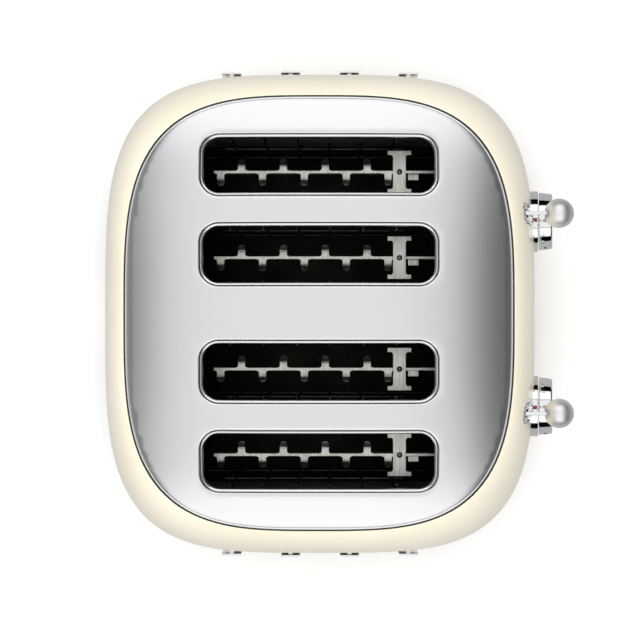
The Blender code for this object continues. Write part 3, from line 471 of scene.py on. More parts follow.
def red_lacquer():
    """Red lacquer filled into an engraved mark: thin, glossy, slightly uneven."""
    material, tree, shader = surface("red_lacquer", Roughness=0.3, IOR=1.5)
    place = add(tree, "ShaderNodeTexCoord").outputs["Object"]
    # The fill is thinner in spots about 1 mm across.
    spots = add(tree, "ShaderNodeTexNoise", [("Scale", 1000.0)], [("Vector", place)])
    shade = add(tree, "ShaderNodeValToRGB", links=[("Fac", spots.outputs["Fac"])])
    ramp_stops(shade, [(0.3, "#7e1512"), (0.7, "#a02420")])
    tree.links.new(shade.outputs["Color"], shader.inputs["Base Color"])
    return material


def shade_darkened_sheet():
    """Steel sheet painted nearly black, as painted shade inside the body, with long rolling lines."""
    material, tree, shader = surface("shade_darkened_sheet", Metallic=0.8)
    place = add(tree, "ShaderNodeTexCoord").outputs["Object"]
    # Rolling lines are about 0.8 mm apart and 80 mm long.
    long_lines = add(tree, "ShaderNodeMapping", [("Scale", (12.0, 1200.0, 1200.0))], [("Vector", place)])
    lines = add(
        tree,
        "ShaderNodeTexNoise",
        [("Scale", 1.0), ("Detail", 2.0)],
        [("Vector", long_lines.outputs["Vector"])],
    )
    # Painted shade: the near-black colour stands for the shade inside the body.
    shade = add(tree, "ShaderNodeValToRGB", links=[("Fac", lines.outputs["Fac"])])
    ramp_stops(shade, [(0.3, "#1b1a19"), (0.7, "#292725")])
    tree.links.new(shade.outputs["Color"], shader.inputs["Base Color"])
    gloss = add(
        tree,
        "ShaderNodeMapRange",
        [("To Min", 0.45), ("To Max", 0.6)],
        [("Value", lines.outputs["Fac"])],
    )
    tree.links.new(gloss.outputs["Result"], shader.inputs["Roughness"])
    return material


def tray_steel():
    """A crumb tray's sheet: a bright front, and the part inside the body painted almost black as painted
    shade, with brown patches.
    """
    material, tree, shader = surface("tray_steel", Metallic=1.0, Roughness=0.36)
    place = add(tree, "ShaderNodeTexCoord").outputs["Object"]
    # Brown patches are about 20 mm across.
    patches = add(tree, "ShaderNodeTexNoise", [("Scale", 50.0), ("Detail", 3.0)], [("Vector", place)])
    pan = add(tree, "ShaderNodeValToRGB", links=[("Fac", patches.outputs["Fac"])])
    ramp_stops(pan, [(0.35, "#171614"), (0.7, "#26221e")])
    # Painted shade: past this X the tray is inside the body, and there it takes the near-black colour.
    axes = add(tree, "ShaderNodeSeparateXYZ", links=[("Vector", place)])
    in_shade = add(
        tree,
        "ShaderNodeMath",
        [(1, body_x + TRAY_SHADE_X)],
        [(0, axes.outputs["X"])],
        operation="GREATER_THAN",
    )
    both = add(
        tree,
        "ShaderNodeMix",
        [(6, colour("#d4d5d7"))],
        [(0, in_shade.outputs["Value"]), (7, pan.outputs["Color"])],
        data_type="RGBA",
    )
    tree.links.new(both.outputs[2], shader.inputs["Base Color"])
    return material


def satin_chrome():
    """Pearl chrome over brass: bright, with a soft glow instead of a mirror image."""
    material, tree, shader = surface("satin_chrome", Metallic=1.0, Base_Color=colour("#efeff0"))
    place = add(tree, "ShaderNodeTexCoord").outputs["Object"]
    # The pearl finish has pits too fine to see, so it is drawn as cloudiness about 2 mm across.
    cloud = add(tree, "ShaderNodeTexNoise", [("Scale", 500.0), ("Detail", 2.0)], [("Vector", place)])
    gloss = add(
        tree,
        "ShaderNodeMapRange",
        [("To Min", 0.42), ("To Max", 0.48)],
        [("Value", cloud.outputs["Fac"])],
    )
    tree.links.new(gloss.outputs["Result"], shader.inputs["Roughness"])
    return material


ENAMEL = baked_cream_enamel()
STAINLESS = satin_stainless()
CHROME = polished_chrome()
SATIN_CHROME = satin_chrome()
GALVANISED = galvanised_sheet()
WIRE = drawn_steel_wire()
MICA = pressed_mica()
NICHROME = oxidised_nichrome()
RUBBER = moulded_nitrile()
NYLON = moulded_nylon()
LAMINATE = green_laminate()
LACQUER = red_lacquer()
# Painted shade: a near-black sheet for the inside of the body.
SHADE_DARKENED = shade_darkened_sheet()
TRAY_STEEL = tray_steel()


# ---- Ways of making a mesh ----


def skin(rings, closed=False):
    """A mesh through equal loops of points. Closed joins the last to the first; if not, it has flat caps."""
    bm = bmesh.new()
    loops = [[bm.verts.new(point) for point in ring] for ring in rings]
    pairs = list(zip(loops, loops[1:]))
    if closed:
        pairs.append((loops[-1], loops[0]))
    for low, high in pairs:
        count = len(low)
        for i in range(count):
            j = (i + 1) % count
            bm.faces.new((low[i], low[j], high[j], high[i]))
    if not closed:
        bm.faces.new(loops[0])
        bm.faces.new(loops[-1])
    bmesh.ops.recalc_face_normals(bm, faces=bm.faces)
    return bm


def turned(profile, axis, centre, count=64, closed=False):
    """A turned mesh. The profile is (radius, place along the axis). Closed leaves a bore along the axis."""
    rings = []
    for radius, along in profile:
        ring = []
        for i in range(count):
            angle = 2 * math.pi * i / count
            a, b = radius * math.cos(angle), radius * math.sin(angle)
            ring.append(Vector(centre) + (Vector((along, a, b)) if axis == "X" else Vector((a, b, along))))
        rings.append(ring)
    return skin(rings, closed)


def block(low, high):
    """A square-cornered block between two corners, for a Bevel to soften."""
    bm = bmesh.new()
    places = itertools.product(*zip(low, high))
    corners = [bm.verts.new(place) for place in places]
    for face in ((0, 1, 3, 2), (4, 6, 7, 5), (0, 4, 5, 1), (2, 3, 7, 6), (0, 2, 6, 4), (1, 5, 7, 3)):
        bm.faces.new([corners[i] for i in face])
    bmesh.ops.recalc_face_normals(bm, faces=bm.faces)
    return bm


def plate(outline, low_z, high_z):
    """A flat plate with this outline of (x, y) points."""
    return skin([[Vector((x, y, z)) for x, y in outline] for z in (low_z, high_z)])


def wire(points, radius, sides=8):
    """A round wire along these points."""
    points = [Vector(p) for p in points]
    rings = []
    side = None
    for i, point in enumerate(points):
        ahead = points[min(i + 1, len(points) - 1)] - points[max(i - 1, 0)]
        ahead.normalize()
        if side is None:
            side = ahead.orthogonal().normalized()
        side = (side - ahead * side.dot(ahead)).normalized()
        other = ahead.cross(side)
        ring = []
        for k in range(sides):
            angle = 2 * math.pi * k / sides
            ring.append(point + radius * (side * math.cos(angle) + other * math.sin(angle)))
        rings.append(ring)
    return skin(rings)


def joined(meshes):
    """One mesh that holds all of these."""
    whole = bmesh.new()
    for bm in meshes:
        mesh = bpy.data.meshes.new("part")
        bm.to_mesh(mesh)
        bm.free()
        whole.from_mesh(mesh)
        bpy.data.meshes.remove(mesh)
    return whole


def shown(name, bm, material, body, replaced=(), round_over=0.0, sharp=38):
    """Makes a piece from a mesh that is placed about the body's middle, and lets it ride on a body."""
    bmesh.ops.translate(bm, verts=bm.verts, vec=(body_x, 0, 0))
    mesh = bpy.data.meshes.new(name)
    bm.to_mesh(mesh)
    bm.free()
    mesh.shade_smooth()
    mesh.set_sharp_from_angle(angle=math.radians(sharp))
    piece = bpy.data.objects.new(name, mesh)
    bpy.context.scene.collection.objects.link(piece)
    mesh.materials.append(material)
    if round_over:
        soften(piece, round_over)
    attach(piece, body)
    if replaced:
        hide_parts(*replaced)
    return piece


def soften(piece, width, steps=2):
    """Rounds a piece's edges over by this width."""
    bevel = piece.modifiers.new("edges", "BEVEL")
    bevel.width = width
    bevel.segments = steps
    bevel.limit_method = "ANGLE"
    bevel.angle_limit = math.radians(38)
    bevel.harden_normals = True


def cut_out(piece, meshes):
    """Cuts these closed meshes out of a piece for good."""
    bm = joined(meshes)
    bmesh.ops.translate(bm, verts=bm.verts, vec=(body_x, 0, 0))
    mesh = bpy.data.meshes.new("cutter")
    bm.to_mesh(mesh)
    bm.free()
    tool = bpy.data.objects.new("cutter", mesh)
    bpy.context.scene.collection.objects.link(tool)
    boolean = piece.modifiers.new("openings", "BOOLEAN")
    boolean.object = tool
    boolean.solver = "EXACT"
    bpy.context.view_layer.update()
    done = bpy.data.meshes.new_from_object(piece.evaluated_get(bpy.context.evaluated_depsgraph_get()))
    piece.modifiers.remove(boolean)
    piece.data = done
    bpy.data.objects.remove(tool)
    done.set_sharp_from_angle(angle=math.radians(38))


def shoulder(share):
    """How far a curve with a half height and a half width of 1 has turned in at this share of its height."""
    return 1 - (1 - share**ROLL_POWER) ** (1 / ROLL_POWER)


def body_sides(z):
    """Half width, half depth and squareness of the shell's outer surface at height z."""
    half_x = BODY_WIDTH / 2
    half_y = BODY_DEPTH / 2
    if z < WIDEST_Z:
        tuck = LOWER_TUCK * ((WIDEST_Z - z) / (WIDEST_Z - SHELL_BOTTOM_Z)) ** 2
        return half_x - tuck, half_y - tuck, BODY_POWER
    rise = (z - WIDEST_Z) / (EDGE_Z - WIDEST_Z)
    roll = WALL_LEAN * rise + (1 - WALL_LEAN) * shoulder(ROLL_SPAN * rise) / shoulder(ROLL_SPAN)
    rim_x = PANEL_WIDTH / 2 + SEAM
    rim_y = PANEL_DEPTH / 2 + SEAM
    power = BODY_POWER + roll * (PANEL_POWER - BODY_POWER)
    return half_x - roll * (half_x - rim_x), half_y - roll * (half_y - rim_y), power


def surface_x(y, z):
    """Distance of the shell's outer surface from the body's middle along X."""
    half_x, half_y, power = body_sides(z)
    return half_x * (1 - (abs(y) / half_y) ** power) ** (1 / power)


def oval(half_x, half_y, power, z, count=180):
    """Points round a rounded rectangle at height z, at equal angles."""
    points = []
    for i in range(count):
        angle = 2 * math.pi * i / count
        across, along = math.cos(angle), math.sin(angle)
        reach = (abs(across / half_x) ** power + abs(along / half_y) ** power) ** (-1 / power)
        points.append(Vector((across * reach, along * reach, z)))
    return points


def stadium(pair_y, half_width, low_z, high_z, grow=0.0, steps=16):
    """Points round a tall slot with round ends in the YZ plane."""
    radius = half_width + grow
    low = low_z - grow + radius
    high = high_z + grow - radius
    points = []
    for i in range(steps + 1):
        angle = math.pi * i / steps
        points.append((pair_y + radius * math.cos(angle), high + radius * math.sin(angle)))
    for i in range(1, steps):
        points.append((pair_y - radius, high + (low - high) * i / steps))
    for i in range(steps + 1):
        angle = math.pi + math.pi * i / steps
        points.append((pair_y + radius * math.cos(angle), low + radius * math.sin(angle)))
    for i in range(1, steps):
        points.append((pair_y + radius, low + (high - low) * i / steps))
    return points


DIAL_X = surface_x(PAIR_Y, DIAL_Z)


def dial_turned(profile, pair_y, closed=False):
    """A mesh turned about a dial's leaning axis. Places along the axis start at the shell's surface."""
    return on_dial(turned(profile, "X", (0, 0, 0), 96, closed), pair_y)


def on_dial(bm, pair_y):
    """Moves a mesh made about the X axis to a dial's leaning axis."""
    bmesh.ops.rotate(bm, verts=bm.verts, cent=(0, 0, 0), matrix=Matrix.Rotation(-DIAL_TILT, 3, "Y"))
    bmesh.ops.translate(bm, verts=bm.verts, vec=(DIAL_X, pair_y, DIAL_Z))
    return bm


# ---- Body ----


def painted_shell():
    """The enamelled shell, with its edge rolled over around the top panel and openings for the controls."""
    heights = [SHELL_BOTTOM_Z + (WIDEST_Z - SHELL_BOTTOM_Z) * i / 6 for i in range(6)]
    for i in range(31):
        share = 1 - (1 - i / 30) ** 1.7
        heights.append(WIDEST_Z + (EDGE_Z - RIM_ROUND - WIDEST_Z) * share)
    rings = [oval(*body_sides(z), z) for z in heights]
    rim_x, rim_y, power = body_sides(EDGE_Z)
    start_x, start_y, _ = body_sides(EDGE_Z - RIM_ROUND)
    for i in range(1, 6):
        angle = math.pi / 2 * i / 5
        grow = 1 - math.sin(angle)
        lift = RIM_ROUND * math.sin(angle * 2) / 2
        half_x = rim_x + grow * (start_x - rim_x)
        half_y = rim_y + grow * (start_y - rim_y)
        rings.append(oval(half_x, half_y, power, EDGE_Z - RIM_ROUND + lift))
    rings.append(oval(rim_x, rim_y, power, EDGE_Z - RIM_DROP))
    for z in (EDGE_Z - RIM_DROP - 2 * MM, *reversed(heights[:-6:3])):
        half_x, half_y, power = body_sides(z)
        rings.append(oval(half_x - SHELL_WALL, half_y - SHELL_WALL, power, z))
    shell = shown("painted_shell", skin(rings, closed=True), ENAMEL, "chassis", ["body_shell"])
    cut_out(shell, shell_openings())


def shell_openings():
    """What is cut out of the shell: lever slots, dial seats, button holes, tray fronts and trim studs."""
    out_x = BODY_WIDTH / 2 + 20 * MM
    in_x = surface_x(PAIR_Y, FRAME_TOP_Z) - 20 * MM
    openings = []
    for pair in PAIRS:
        hole = stadium(pair, FRAME_HALF_WIDTH, FRAME_BOTTOM_Z, FRAME_TOP_Z, CLEARANCE)
        openings.append(skin([[Vector((x, y, z)) for y, z in hole] for x in (in_x, out_x)]))
        radius = RING_RADIUS + CLEARANCE
        openings.append(dial_turned([(radius, -20 * MM), (radius, 20 * MM)], pair))
        for y in button_places(pair):
            radius = BUTTON_RADIUS + CLEARANCE
            openings.append(turned([(radius, in_x), (radius, out_x)], "X", (0, y, BUTTON_Z), 48))
    for number in (1, 2):
        low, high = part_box(f"crumb_tray_{number}")
        gap = 0.5 * MM
        openings.append(block((-out_x, low.y - gap, 0), (-in_x, high.y + gap, high.z + gap)))
    half = TRIM_STUD / 2 + CLEARANCE
    for side in (1, -1):
        ends = sorted((side * BODY_DEPTH / 2 * 0.9, side * BODY_DEPTH / 2 * 1.1))
        for x in TRIM_PLACES:
            openings.append(block((x - half, ends[0], WIDEST_Z - half), (x + half, ends[1], WIDEST_Z + half)))
    return openings


def button_places(pair_y):
    """The middles of a pair's three buttons along Y."""
    return [pair_y + step * BUTTON_PITCH for step in (1, 0, -1)]


def corner_round(distance, radius):
    """How far a rounded edge has dropped at this distance inside it."""
    if distance >= radius:
        return 0.0
    return radius - math.sqrt(max(radius**2 - (radius - distance) ** 2, 0))


def slot_reach(x, y):
    """Distance outside the nearest bread slot's edge; negative inside it."""
    over_x = max(abs(x) - (SLOT_LENGTH / 2 - SLOT_CORNER), 0)
    reaches = []
    for centre in SLOT_CENTRES:
        over_y = max(abs(y - centre) - (SLOT_WIDTH / 2 - SLOT_CORNER), 0)
        reaches.append(math.hypot(over_x, over_y) - SLOT_CORNER)
    return min(reaches)


def panel_reach(x, y):
    """Place on the panel, from 0 in the middle to 1 at its edge."""
    power = PANEL_POWER
    return (abs(2 * x / PANEL_WIDTH) ** power + abs(2 * y / PANEL_DEPTH) ** power) ** (1 / power)


def panel_z(x, y):
    """Height of the panel's outer surface, with its edges rounded over."""
    reach = panel_reach(x, y)
    z = EDGE_Z + (CREST_Z - EDGE_Z) * (1 - reach**DOME_POWER)
    inside = (1 - reach) * min(PANEL_WIDTH, PANEL_DEPTH) / 2
    z -= corner_round(max(inside, 0), PANEL_ROUND)
    return z - corner_round(max(slot_reach(x, y), 0), SLOT_ROUND)


def slot_outline(centre_y, grow):
    """Points round a bread slot, this far outside its edge."""
    points = []
    radius = SLOT_CORNER + grow
    straight_x = SLOT_LENGTH / 2 - SLOT_CORNER
    straight_y = SLOT_WIDTH / 2 - SLOT_CORNER
    for quarter, (side_x, side_y) in enumerate(((1, 1), (-1, 1), (-1, -1), (1, -1))):
        for i in range(11):
            angle = math.pi / 2 * (quarter + i / 10)
            x = side_x * straight_x + radius * math.cos(angle)
            points.append(Vector((x, centre_y + side_y * straight_y + radius * math.sin(angle))))
        if quarter % 2 == 0:
            last = points[-1]
            for i in range(1, 36):
                points.append(Vector((last.x - side_x * 2 * straight_x * i / 36, last.y)))
    return points


def satin_panel():
    """The domed sheet with rounded, turned-down edges around it and a small ledge inside each bread slot."""
    edge_steps = [PANEL_ROUND * (1 - math.cos(math.pi / 2 * i / 3)) for i in range(4)]
    slot_steps = [SLOT_ROUND * (1 - math.cos(math.pi / 2 * i / 5)) for i in range(6)]
    loops = []
    for step in edge_steps:
        share = 1 - 2 * step / min(PANEL_WIDTH, PANEL_DEPTH)
        ring = oval(PANEL_WIDTH / 2 * share, PANEL_DEPTH / 2 * share, PANEL_POWER, 0)
        loops.append([Vector((p.x, p.y)) for p in ring])
    for centre in SLOT_CENTRES:
        loops += [slot_outline(centre, step) for step in slot_steps]
    points = [point for loop in loops for point in loop]
    edges = []
    first = 0
    for loop in loops:
        count = len(loop)
        edges += [(first + i, first + (i + 1) % count) for i in range(count)]
        first += count
    across = int(PANEL_WIDTH / 2 / PANEL_GRID)
    along = int(PANEL_DEPTH / 2 / PANEL_GRID)
    for i in range(-across, across + 1):
        for j in range(-along, along + 1):
            x, y = i * PANEL_GRID, j * PANEL_GRID
            if panel_reach(x, y) < 0.975 and slot_reach(x, y) > SLOT_ROUND + PANEL_GRID / 2:
                points.append(Vector((x, y)))
    flat, _, triangles, *_ = delaunay_2d_cdt(points, edges, [], 0, 1e-7)
    bm = bmesh.new()
    verts = [bm.verts.new((p.x, p.y, panel_z(p.x, p.y))) for p in flat]
    for triangle in triangles:
        x = sum(flat[i].x for i in triangle) / 3
        y = sum(flat[i].y for i in triangle) / 3
        if panel_reach(x, y) < 1 and slot_reach(x, y) > -0.01 * MM:
            bm.faces.new([verts[i] for i in triangle])
    bmesh.ops.delete(bm, geom=[v for v in bm.verts if not v.link_faces], context="VERTS")
    rim = [edge for edge in bm.edges if edge.is_boundary]
    for drop, inward in ((1.2 * MM, 0.1 * MM), (0.3 * MM, LEDGE), (0.5 * MM, 0.3 * MM), (0.0, 0.0)):
        turned_down = bmesh.ops.extrude_edge_only(bm, edges=rim)
        rim = [item for item in turned_down["geom"] if isinstance(item, bmesh.types.BMEdge)]
        for vert in (item for item in turned_down["geom"] if isinstance(item, bmesh.types.BMVert)):
            if panel_reach(vert.co.x, vert.co.y) > 0.9:
                vert.co.z -= (PANEL_LIP - PANEL_ROUND) / 4
                continue
            centre = min(SLOT_CENTRES, key=lambda y: abs(y - vert.co.y))
            straight = SLOT_LENGTH / 2 - SLOT_CORNER
            middle_x = min(max(vert.co.x, -straight), straight)
            half = SLOT_WIDTH / 2 - SLOT_CORNER
            middle_y = min(max(vert.co.y, centre - half), centre + half)
            towards = Vector((middle_x - vert.co.x, middle_y - vert.co.y, 0)).normalized()
            vert.co += towards * inward
            vert.co.z -= drop or SLOT_LIP - SLOT_ROUND - 2 * MM
    bmesh.ops.recalc_face_normals(bm, faces=bm.faces)
    highest = max(bm.faces, key=lambda face: face.calc_center_median().z)
    if highest.normal.z < 0:
        bmesh.ops.reverse_faces(bm, faces=bm.faces)
    panel = shown("satin_panel", bm, STAINLESS, "chassis", ["top_panel"], sharp=60)
    sheet = panel.modifiers.new("sheet", "SOLIDIFY")
    sheet.thickness = PANEL_WALL
    sheet.offset = -1


def seam_gasket():
    """The dark rubber bead in the seam around the panel."""
    low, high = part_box("panel_seal")
    inner_x = PANEL_WIDTH / 2 + 0.3 * MM
    inner_y = PANEL_DEPTH / 2 + 0.3 * MM
    wall = SEAM - 0.6 * MM
    rings = []
    edge_z = high.z - 0.3 * MM
    for grow, z in ((0, low.z), (wall, low.z), (wall, edge_z), (wall / 2, high.z), (0, edge_z)):
        rings.append(oval(inner_x + grow, inner_y + grow, PANEL_POWER, z))
    shown("seam_gasket", skin(rings, closed=True), RUBBER, "chassis", ["panel_seal"])


def panel_bead():
    """The panel's hemmed edge: a fine bright bead beside the seam."""
    rings = []
    for i in range(10):
        angle = 2 * math.pi * i / 10
        grow = -0.2 * MM + BEAD_RADIUS * math.cos(angle)
        z = EDGE_Z - 0.25 * MM + BEAD_RADIUS * math.sin(angle)
        rings.append(oval(PANEL_WIDTH / 2 + grow, PANEL_DEPTH / 2 + grow, PANEL_POWER, z))
    shown("panel_bead", skin(rings, closed=True), CHROME, "chassis", sharp=60)


def polished_skirt():
    """The bright band below the shell, with rounded edges."""
    half_x, half_y, _ = body_sides(SHELL_BOTTOM_Z)

    def ring(z, inward):
        """An outline of the skirt at this height, this far inside its outer face."""
        taper = SKIRT_TAPER * (SKIRT_TOP_Z - z) / (SKIRT_TOP_Z - SKIRT_BOTTOM_Z) + SKIRT_INSET + inward
        return oval(half_x - taper, half_y - taper, BODY_POWER, z)

    edge = 0.6 * MM
    rings = [
        ring(SKIRT_BOTTOM_Z, edge),
        ring(SKIRT_BOTTOM_Z + edge / 3, edge / 4),
        ring(SKIRT_BOTTOM_Z + edge, 0),
        ring(SKIRT_TOP_Z - edge, 0),
        ring(SKIRT_TOP_Z - edge / 3, edge / 4),
        ring(SKIRT_TOP_Z, edge),
        ring(SKIRT_TOP_Z, SKIRT_WALL),
        ring(SKIRT_BOTTOM_Z, SKIRT_WALL),
    ]
    shown("polished_skirt", skin(rings, closed=True), CHROME, "chassis", ["base_skirt"])


def screw_head(centre, radius, height):
    """A screw's round head, which hangs down from the centre given."""
    profile = [(radius * 0.3, -height), (radius * 0.8, -height * 0.9), (radius, -height * 0.45), (radius, 0)]
    return turned(profile, "Z", centre, 24)


def rubber_feet():
    """Four feet, each hollowed around its screw."""
    for number, (side_x, side_y) in enumerate(((1, 1), (-1, 1), (-1, -1), (1, -1)), 1):
        centre = (side_x * FOOT_X, side_y * FOOT_Y, 0)
        profile = [(2.2 * MM, 3 * MM), (4.6 * MM, 3 * MM), (5.2 * MM, 0.4 * MM), (6 * MM, 0)]
        profile += [(8.5 * MM, 0), (9.2 * MM, 0.3 * MM), (9.5 * MM, 1 * MM), (10.6 * MM, 6.6 * MM)]
        profile += [(11 * MM, 7.1 * MM), (11 * MM, 7.7 * MM), (2.2 * MM, 7.7 * MM)]
        name = f"rubber_foot_{number}"
        foot = turned(profile, "Z", centre, 48, closed=True)
        shown(name, foot, RUBBER, "chassis", [f"foot_{number}"])
        head = screw_head((centre[0], centre[1], 3 * MM), 4 * MM, 1.6 * MM)
        shown(f"foot_screw_{number}", head, WIRE, "chassis")


def cord_bush():
    """The ribbed nylon bush under the base."""
    low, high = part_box("cord_gland")
    flange = high.z - 2.2 * MM
    profile = [(3.6 * MM, low.z), (6.6 * MM, low.z), (7.2 * MM, low.z + 0.5 * MM)]
    for i in range(3):
        z = low.z + (1 + i * 1.3) * MM
        profile += [(7.6 * MM, z), (7.6 * MM, z + 0.7 * MM)]
        profile += [(7.1 * MM, z + 0.8 * MM), (7.1 * MM, z + 1.2 * MM)]
    profile += [(7.6 * MM, flange), (10.1 * MM, flange), (10.5 * MM, flange + 0.4 * MM)]
    profile += [(10.5 * MM, high.z - 0.4 * MM), (10.1 * MM, high.z), (3.6 * MM, high.z)]
    bush = turned(profile, "Z", (GLAND_X, 0, 0), 48, closed=True)
    shown("cord_bush", bush, NYLON, "chassis", ["cord_gland"])


def trim_tabs():
    """The plain tabs on the long sides keep their shape and get soft edges."""
    for number in (1, 2):
        finish_node(f"trim_strip_{number}", CHROME, 0.35 * MM)


def finish_node(name, material, round_over=0.0):
    """Gives a carried-over node its finish and, if asked, rounds its edges over."""
    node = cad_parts[name]
    for place in node.material_slots:
        place.material = material
    if round_over:
        soften(node, round_over)


# ---- Chassis and heating ----


def chassis_plates():
    """The plates and reflectors keep their shape, and all but the base plate get soft edges; their near black
    is painted shade.
    """
    for name in ("control_end_plate", "rear_end_plate"):
        finish_node(name, SHADE_DARKENED, 0.25 * MM)
    finish_node("base_plate", SHADE_DARKENED)
    for name in ("outer_reflector_1", "outer_reflector_2", "centre_reflector"):
        finish_node(name, SHADE_DARKENED, 0.2 * MM)


def element_board(number):
    """A mica board with notches along its ends for the ribbon."""
    low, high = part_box(f"heating_element_{number}")
    y = (low.y + high.y) / 2
    pitch = (ELEMENT_TOP_Z - ELEMENT_BOTTOM_Z) / (ELEMENT_ROWS + 1)
    right = [(ELEMENT_HALF, ELEMENT_BOTTOM_Z)]
    for i in range(1, ELEMENT_ROWS + 1):
        z = ELEMENT_BOTTOM_Z + i * pitch
        right += [(ELEMENT_HALF, z - NOTCH), (ELEMENT_HALF - NOTCH, z - NOTCH / 2)]
        right += [(ELEMENT_HALF - NOTCH, z + NOTCH / 2), (ELEMENT_HALF, z + NOTCH)]
    right.append((ELEMENT_HALF, ELEMENT_TOP_Z))
    outline = right + [(-x, z) for x, z in reversed(right)]
    half = (high.y - low.y) / 2
    rings = [[Vector((x, side, z)) for x, z in outline] for side in (y - half, y + half)]
    name = f"heating_element_{number}"
    shown(f"mica_board_{number}", skin(rings), MICA, "chassis", [name])
    return y, half, pitch


def element_winding(number, y, half, pitch):
    """Ribbon that crosses both faces of the board in rows and passes round its ends."""
    strips = []
    reach = ELEMENT_HALF - NOTCH
    outer = half + RIBBON_SHEET
    for i in range(1, ELEMENT_ROWS + 1):
        low_z = ELEMENT_BOTTOM_Z + i * pitch - RIBBON_WIDTH / 2
        high_z = low_z + RIBBON_WIDTH
        for side in (-1, 1):
            low_y, high_y = sorted((y + side * half, y + side * outer))
            strips.append(block((-reach, low_y, low_z), (reach, high_y, high_z)))
        for end in (-1, 1):
            low_x, high_x = sorted((end * reach, end * (reach + RIBBON_SHEET)))
            strips.append(block((low_x, y - outer, low_z), (high_x, y + outer, high_z)))
    shown(f"ribbon_winding_{number}", joined(strips), NICHROME, "chassis")


def heating_elements():
    """Six mica boards, each with its winding."""
    for number in range(1, 7):
        element_winding(number, *element_board(number))


def guide_grid(number, centre_y, side):
    """A round-wire grid: a pivot rail, a cross rail and uprights that bend towards the slot at the top."""
    radius = GUIDE_WIRE / 2
    y = centre_y + side * GUIDE_OFFSET
    low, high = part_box(f"bread_guide_{number}")
    rail = 2.5 * GUIDE_PITCH + 8 * MM
    wires = [
        wire([(low.x - body_x, y, GUIDE_PIVOT_Z), (high.x - body_x, y, GUIDE_PIVOT_Z)], radius, 12),
        wire([(GUIDE_SHIFT - rail, y, GUIDE_RAIL_Z), (GUIDE_SHIFT + rail, y, GUIDE_RAIL_Z)], radius, 12),
    ]
    for i in range(6):
        x = GUIDE_SHIFT + (i - 2.5) * GUIDE_PITCH
        points = [(x, y, GUIDE_PIVOT_Z)]
        rise = GUIDE_TOP_Z - GUIDE_BEND - GUIDE_PIVOT_Z
        points += [(x, y, GUIDE_PIVOT_Z + rise * k / 8) for k in range(1, 9)]
        for k in range(1, 6):
            angle = math.pi / 2 * k / 5
            bent = GUIDE_BEND * (1 - math.cos(angle))
            points.append((x, y - side * bent, GUIDE_TOP_Z - GUIDE_BEND * (1 - math.sin(angle)) - radius))
        points.append((x, y - side * (GUIDE_BEND + 1.2 * MM), GUIDE_TOP_Z - radius))
        wires.append(wire(points, radius, 10))
    body = f"guide_{number}"
    shown(f"guide_grid_{number}", joined(wires), WIRE, body, [f"bread_guide_{number}"])


def guide_grids():
    """Two grids for each slot."""
    number = 1
    for centre in SLOT_CENTRES:
        for side in (1, -1):
            guide_grid(number, centre, side)
            number += 1


# ---- Racks and lifting gear ----


def rack_finger(x, y, side):
    """A finger of bent sheet: wide at its root, flat, then curling down to a rounded tip."""
    stations = [
        (0, 0, FINGER_ROOT),
        (0.9, 0, FINGER_ROOT - 0.6 * MM),
        (1.4, 0, FINGER_WIDTH + 0.5 * MM),
        (2.0, 0, FINGER_WIDTH),
        (4.2, 0, FINGER_WIDTH),
        (4.9, -0.25, FINGER_WIDTH),
        (5.6, -0.9, FINGER_WIDTH),
        (6.3, -1.7, FINGER_WIDTH),
        (7.0, -2.4, FINGER_WIDTH - 0.1 * MM),
        (7.6, -2.9, FINGER_WIDTH - 0.5 * MM),
        (8.1, -3.2, FINGER_WIDTH - 1.2 * MM),
        (8.45, -3.4, FINGER_WIDTH - 2.2 * MM),
        (8.65, -3.5, FINGER_WIDTH - 3.6 * MM),
    ]
    rings = []
    for i, (out, drop, width) in enumerate(stations):
        before = stations[max(i - 1, 0)]
        after = stations[min(i + 1, len(stations) - 1)]
        slope = Vector((after[0] - before[0], after[1] - before[1])).normalized()
        under = Vector((slope.y, -slope.x)) * FINGER_SHEET
        top_y, top_z = out * MM, RACK_Z + drop * MM
        if i == 0:
            under = Vector((0, -FINGER_SHEET))
        low_y, low_z = top_y + under.x, top_z + under.y
        ring = []
        for across, yy, zz in ((-1, top_y, top_z), (1, top_y, top_z), (1, low_y, low_z), (-1, low_y, low_z)):
            ring.append(Vector((x + across * width / 2, y + side * yy, zz)))
        rings.append(ring)
    return skin(rings)


def strap_outline(y):
    """The cross strap's T-ended outline."""
    half = STRAP_WIDTH / 2
    end = STRAP_END_WIDTH / 2
    span = STRAP_SPAN / 2
    neck = span - STRAP_END
    quarter = [(half, 0), (half, neck - 1 * MM), (half + 1 * MM, neck), (end, neck), (end, span)]
    mirror = [(-x, yy) for x, yy in reversed(quarter)]
    upper = quarter + mirror
    lower = [(-x, -yy) for x, yy in quarter[1:]] + [(x, -yy) for x, yy in reversed(quarter[1:])]
    return [(STRAP_X + x, y + yy) for x, yy in upper + lower]


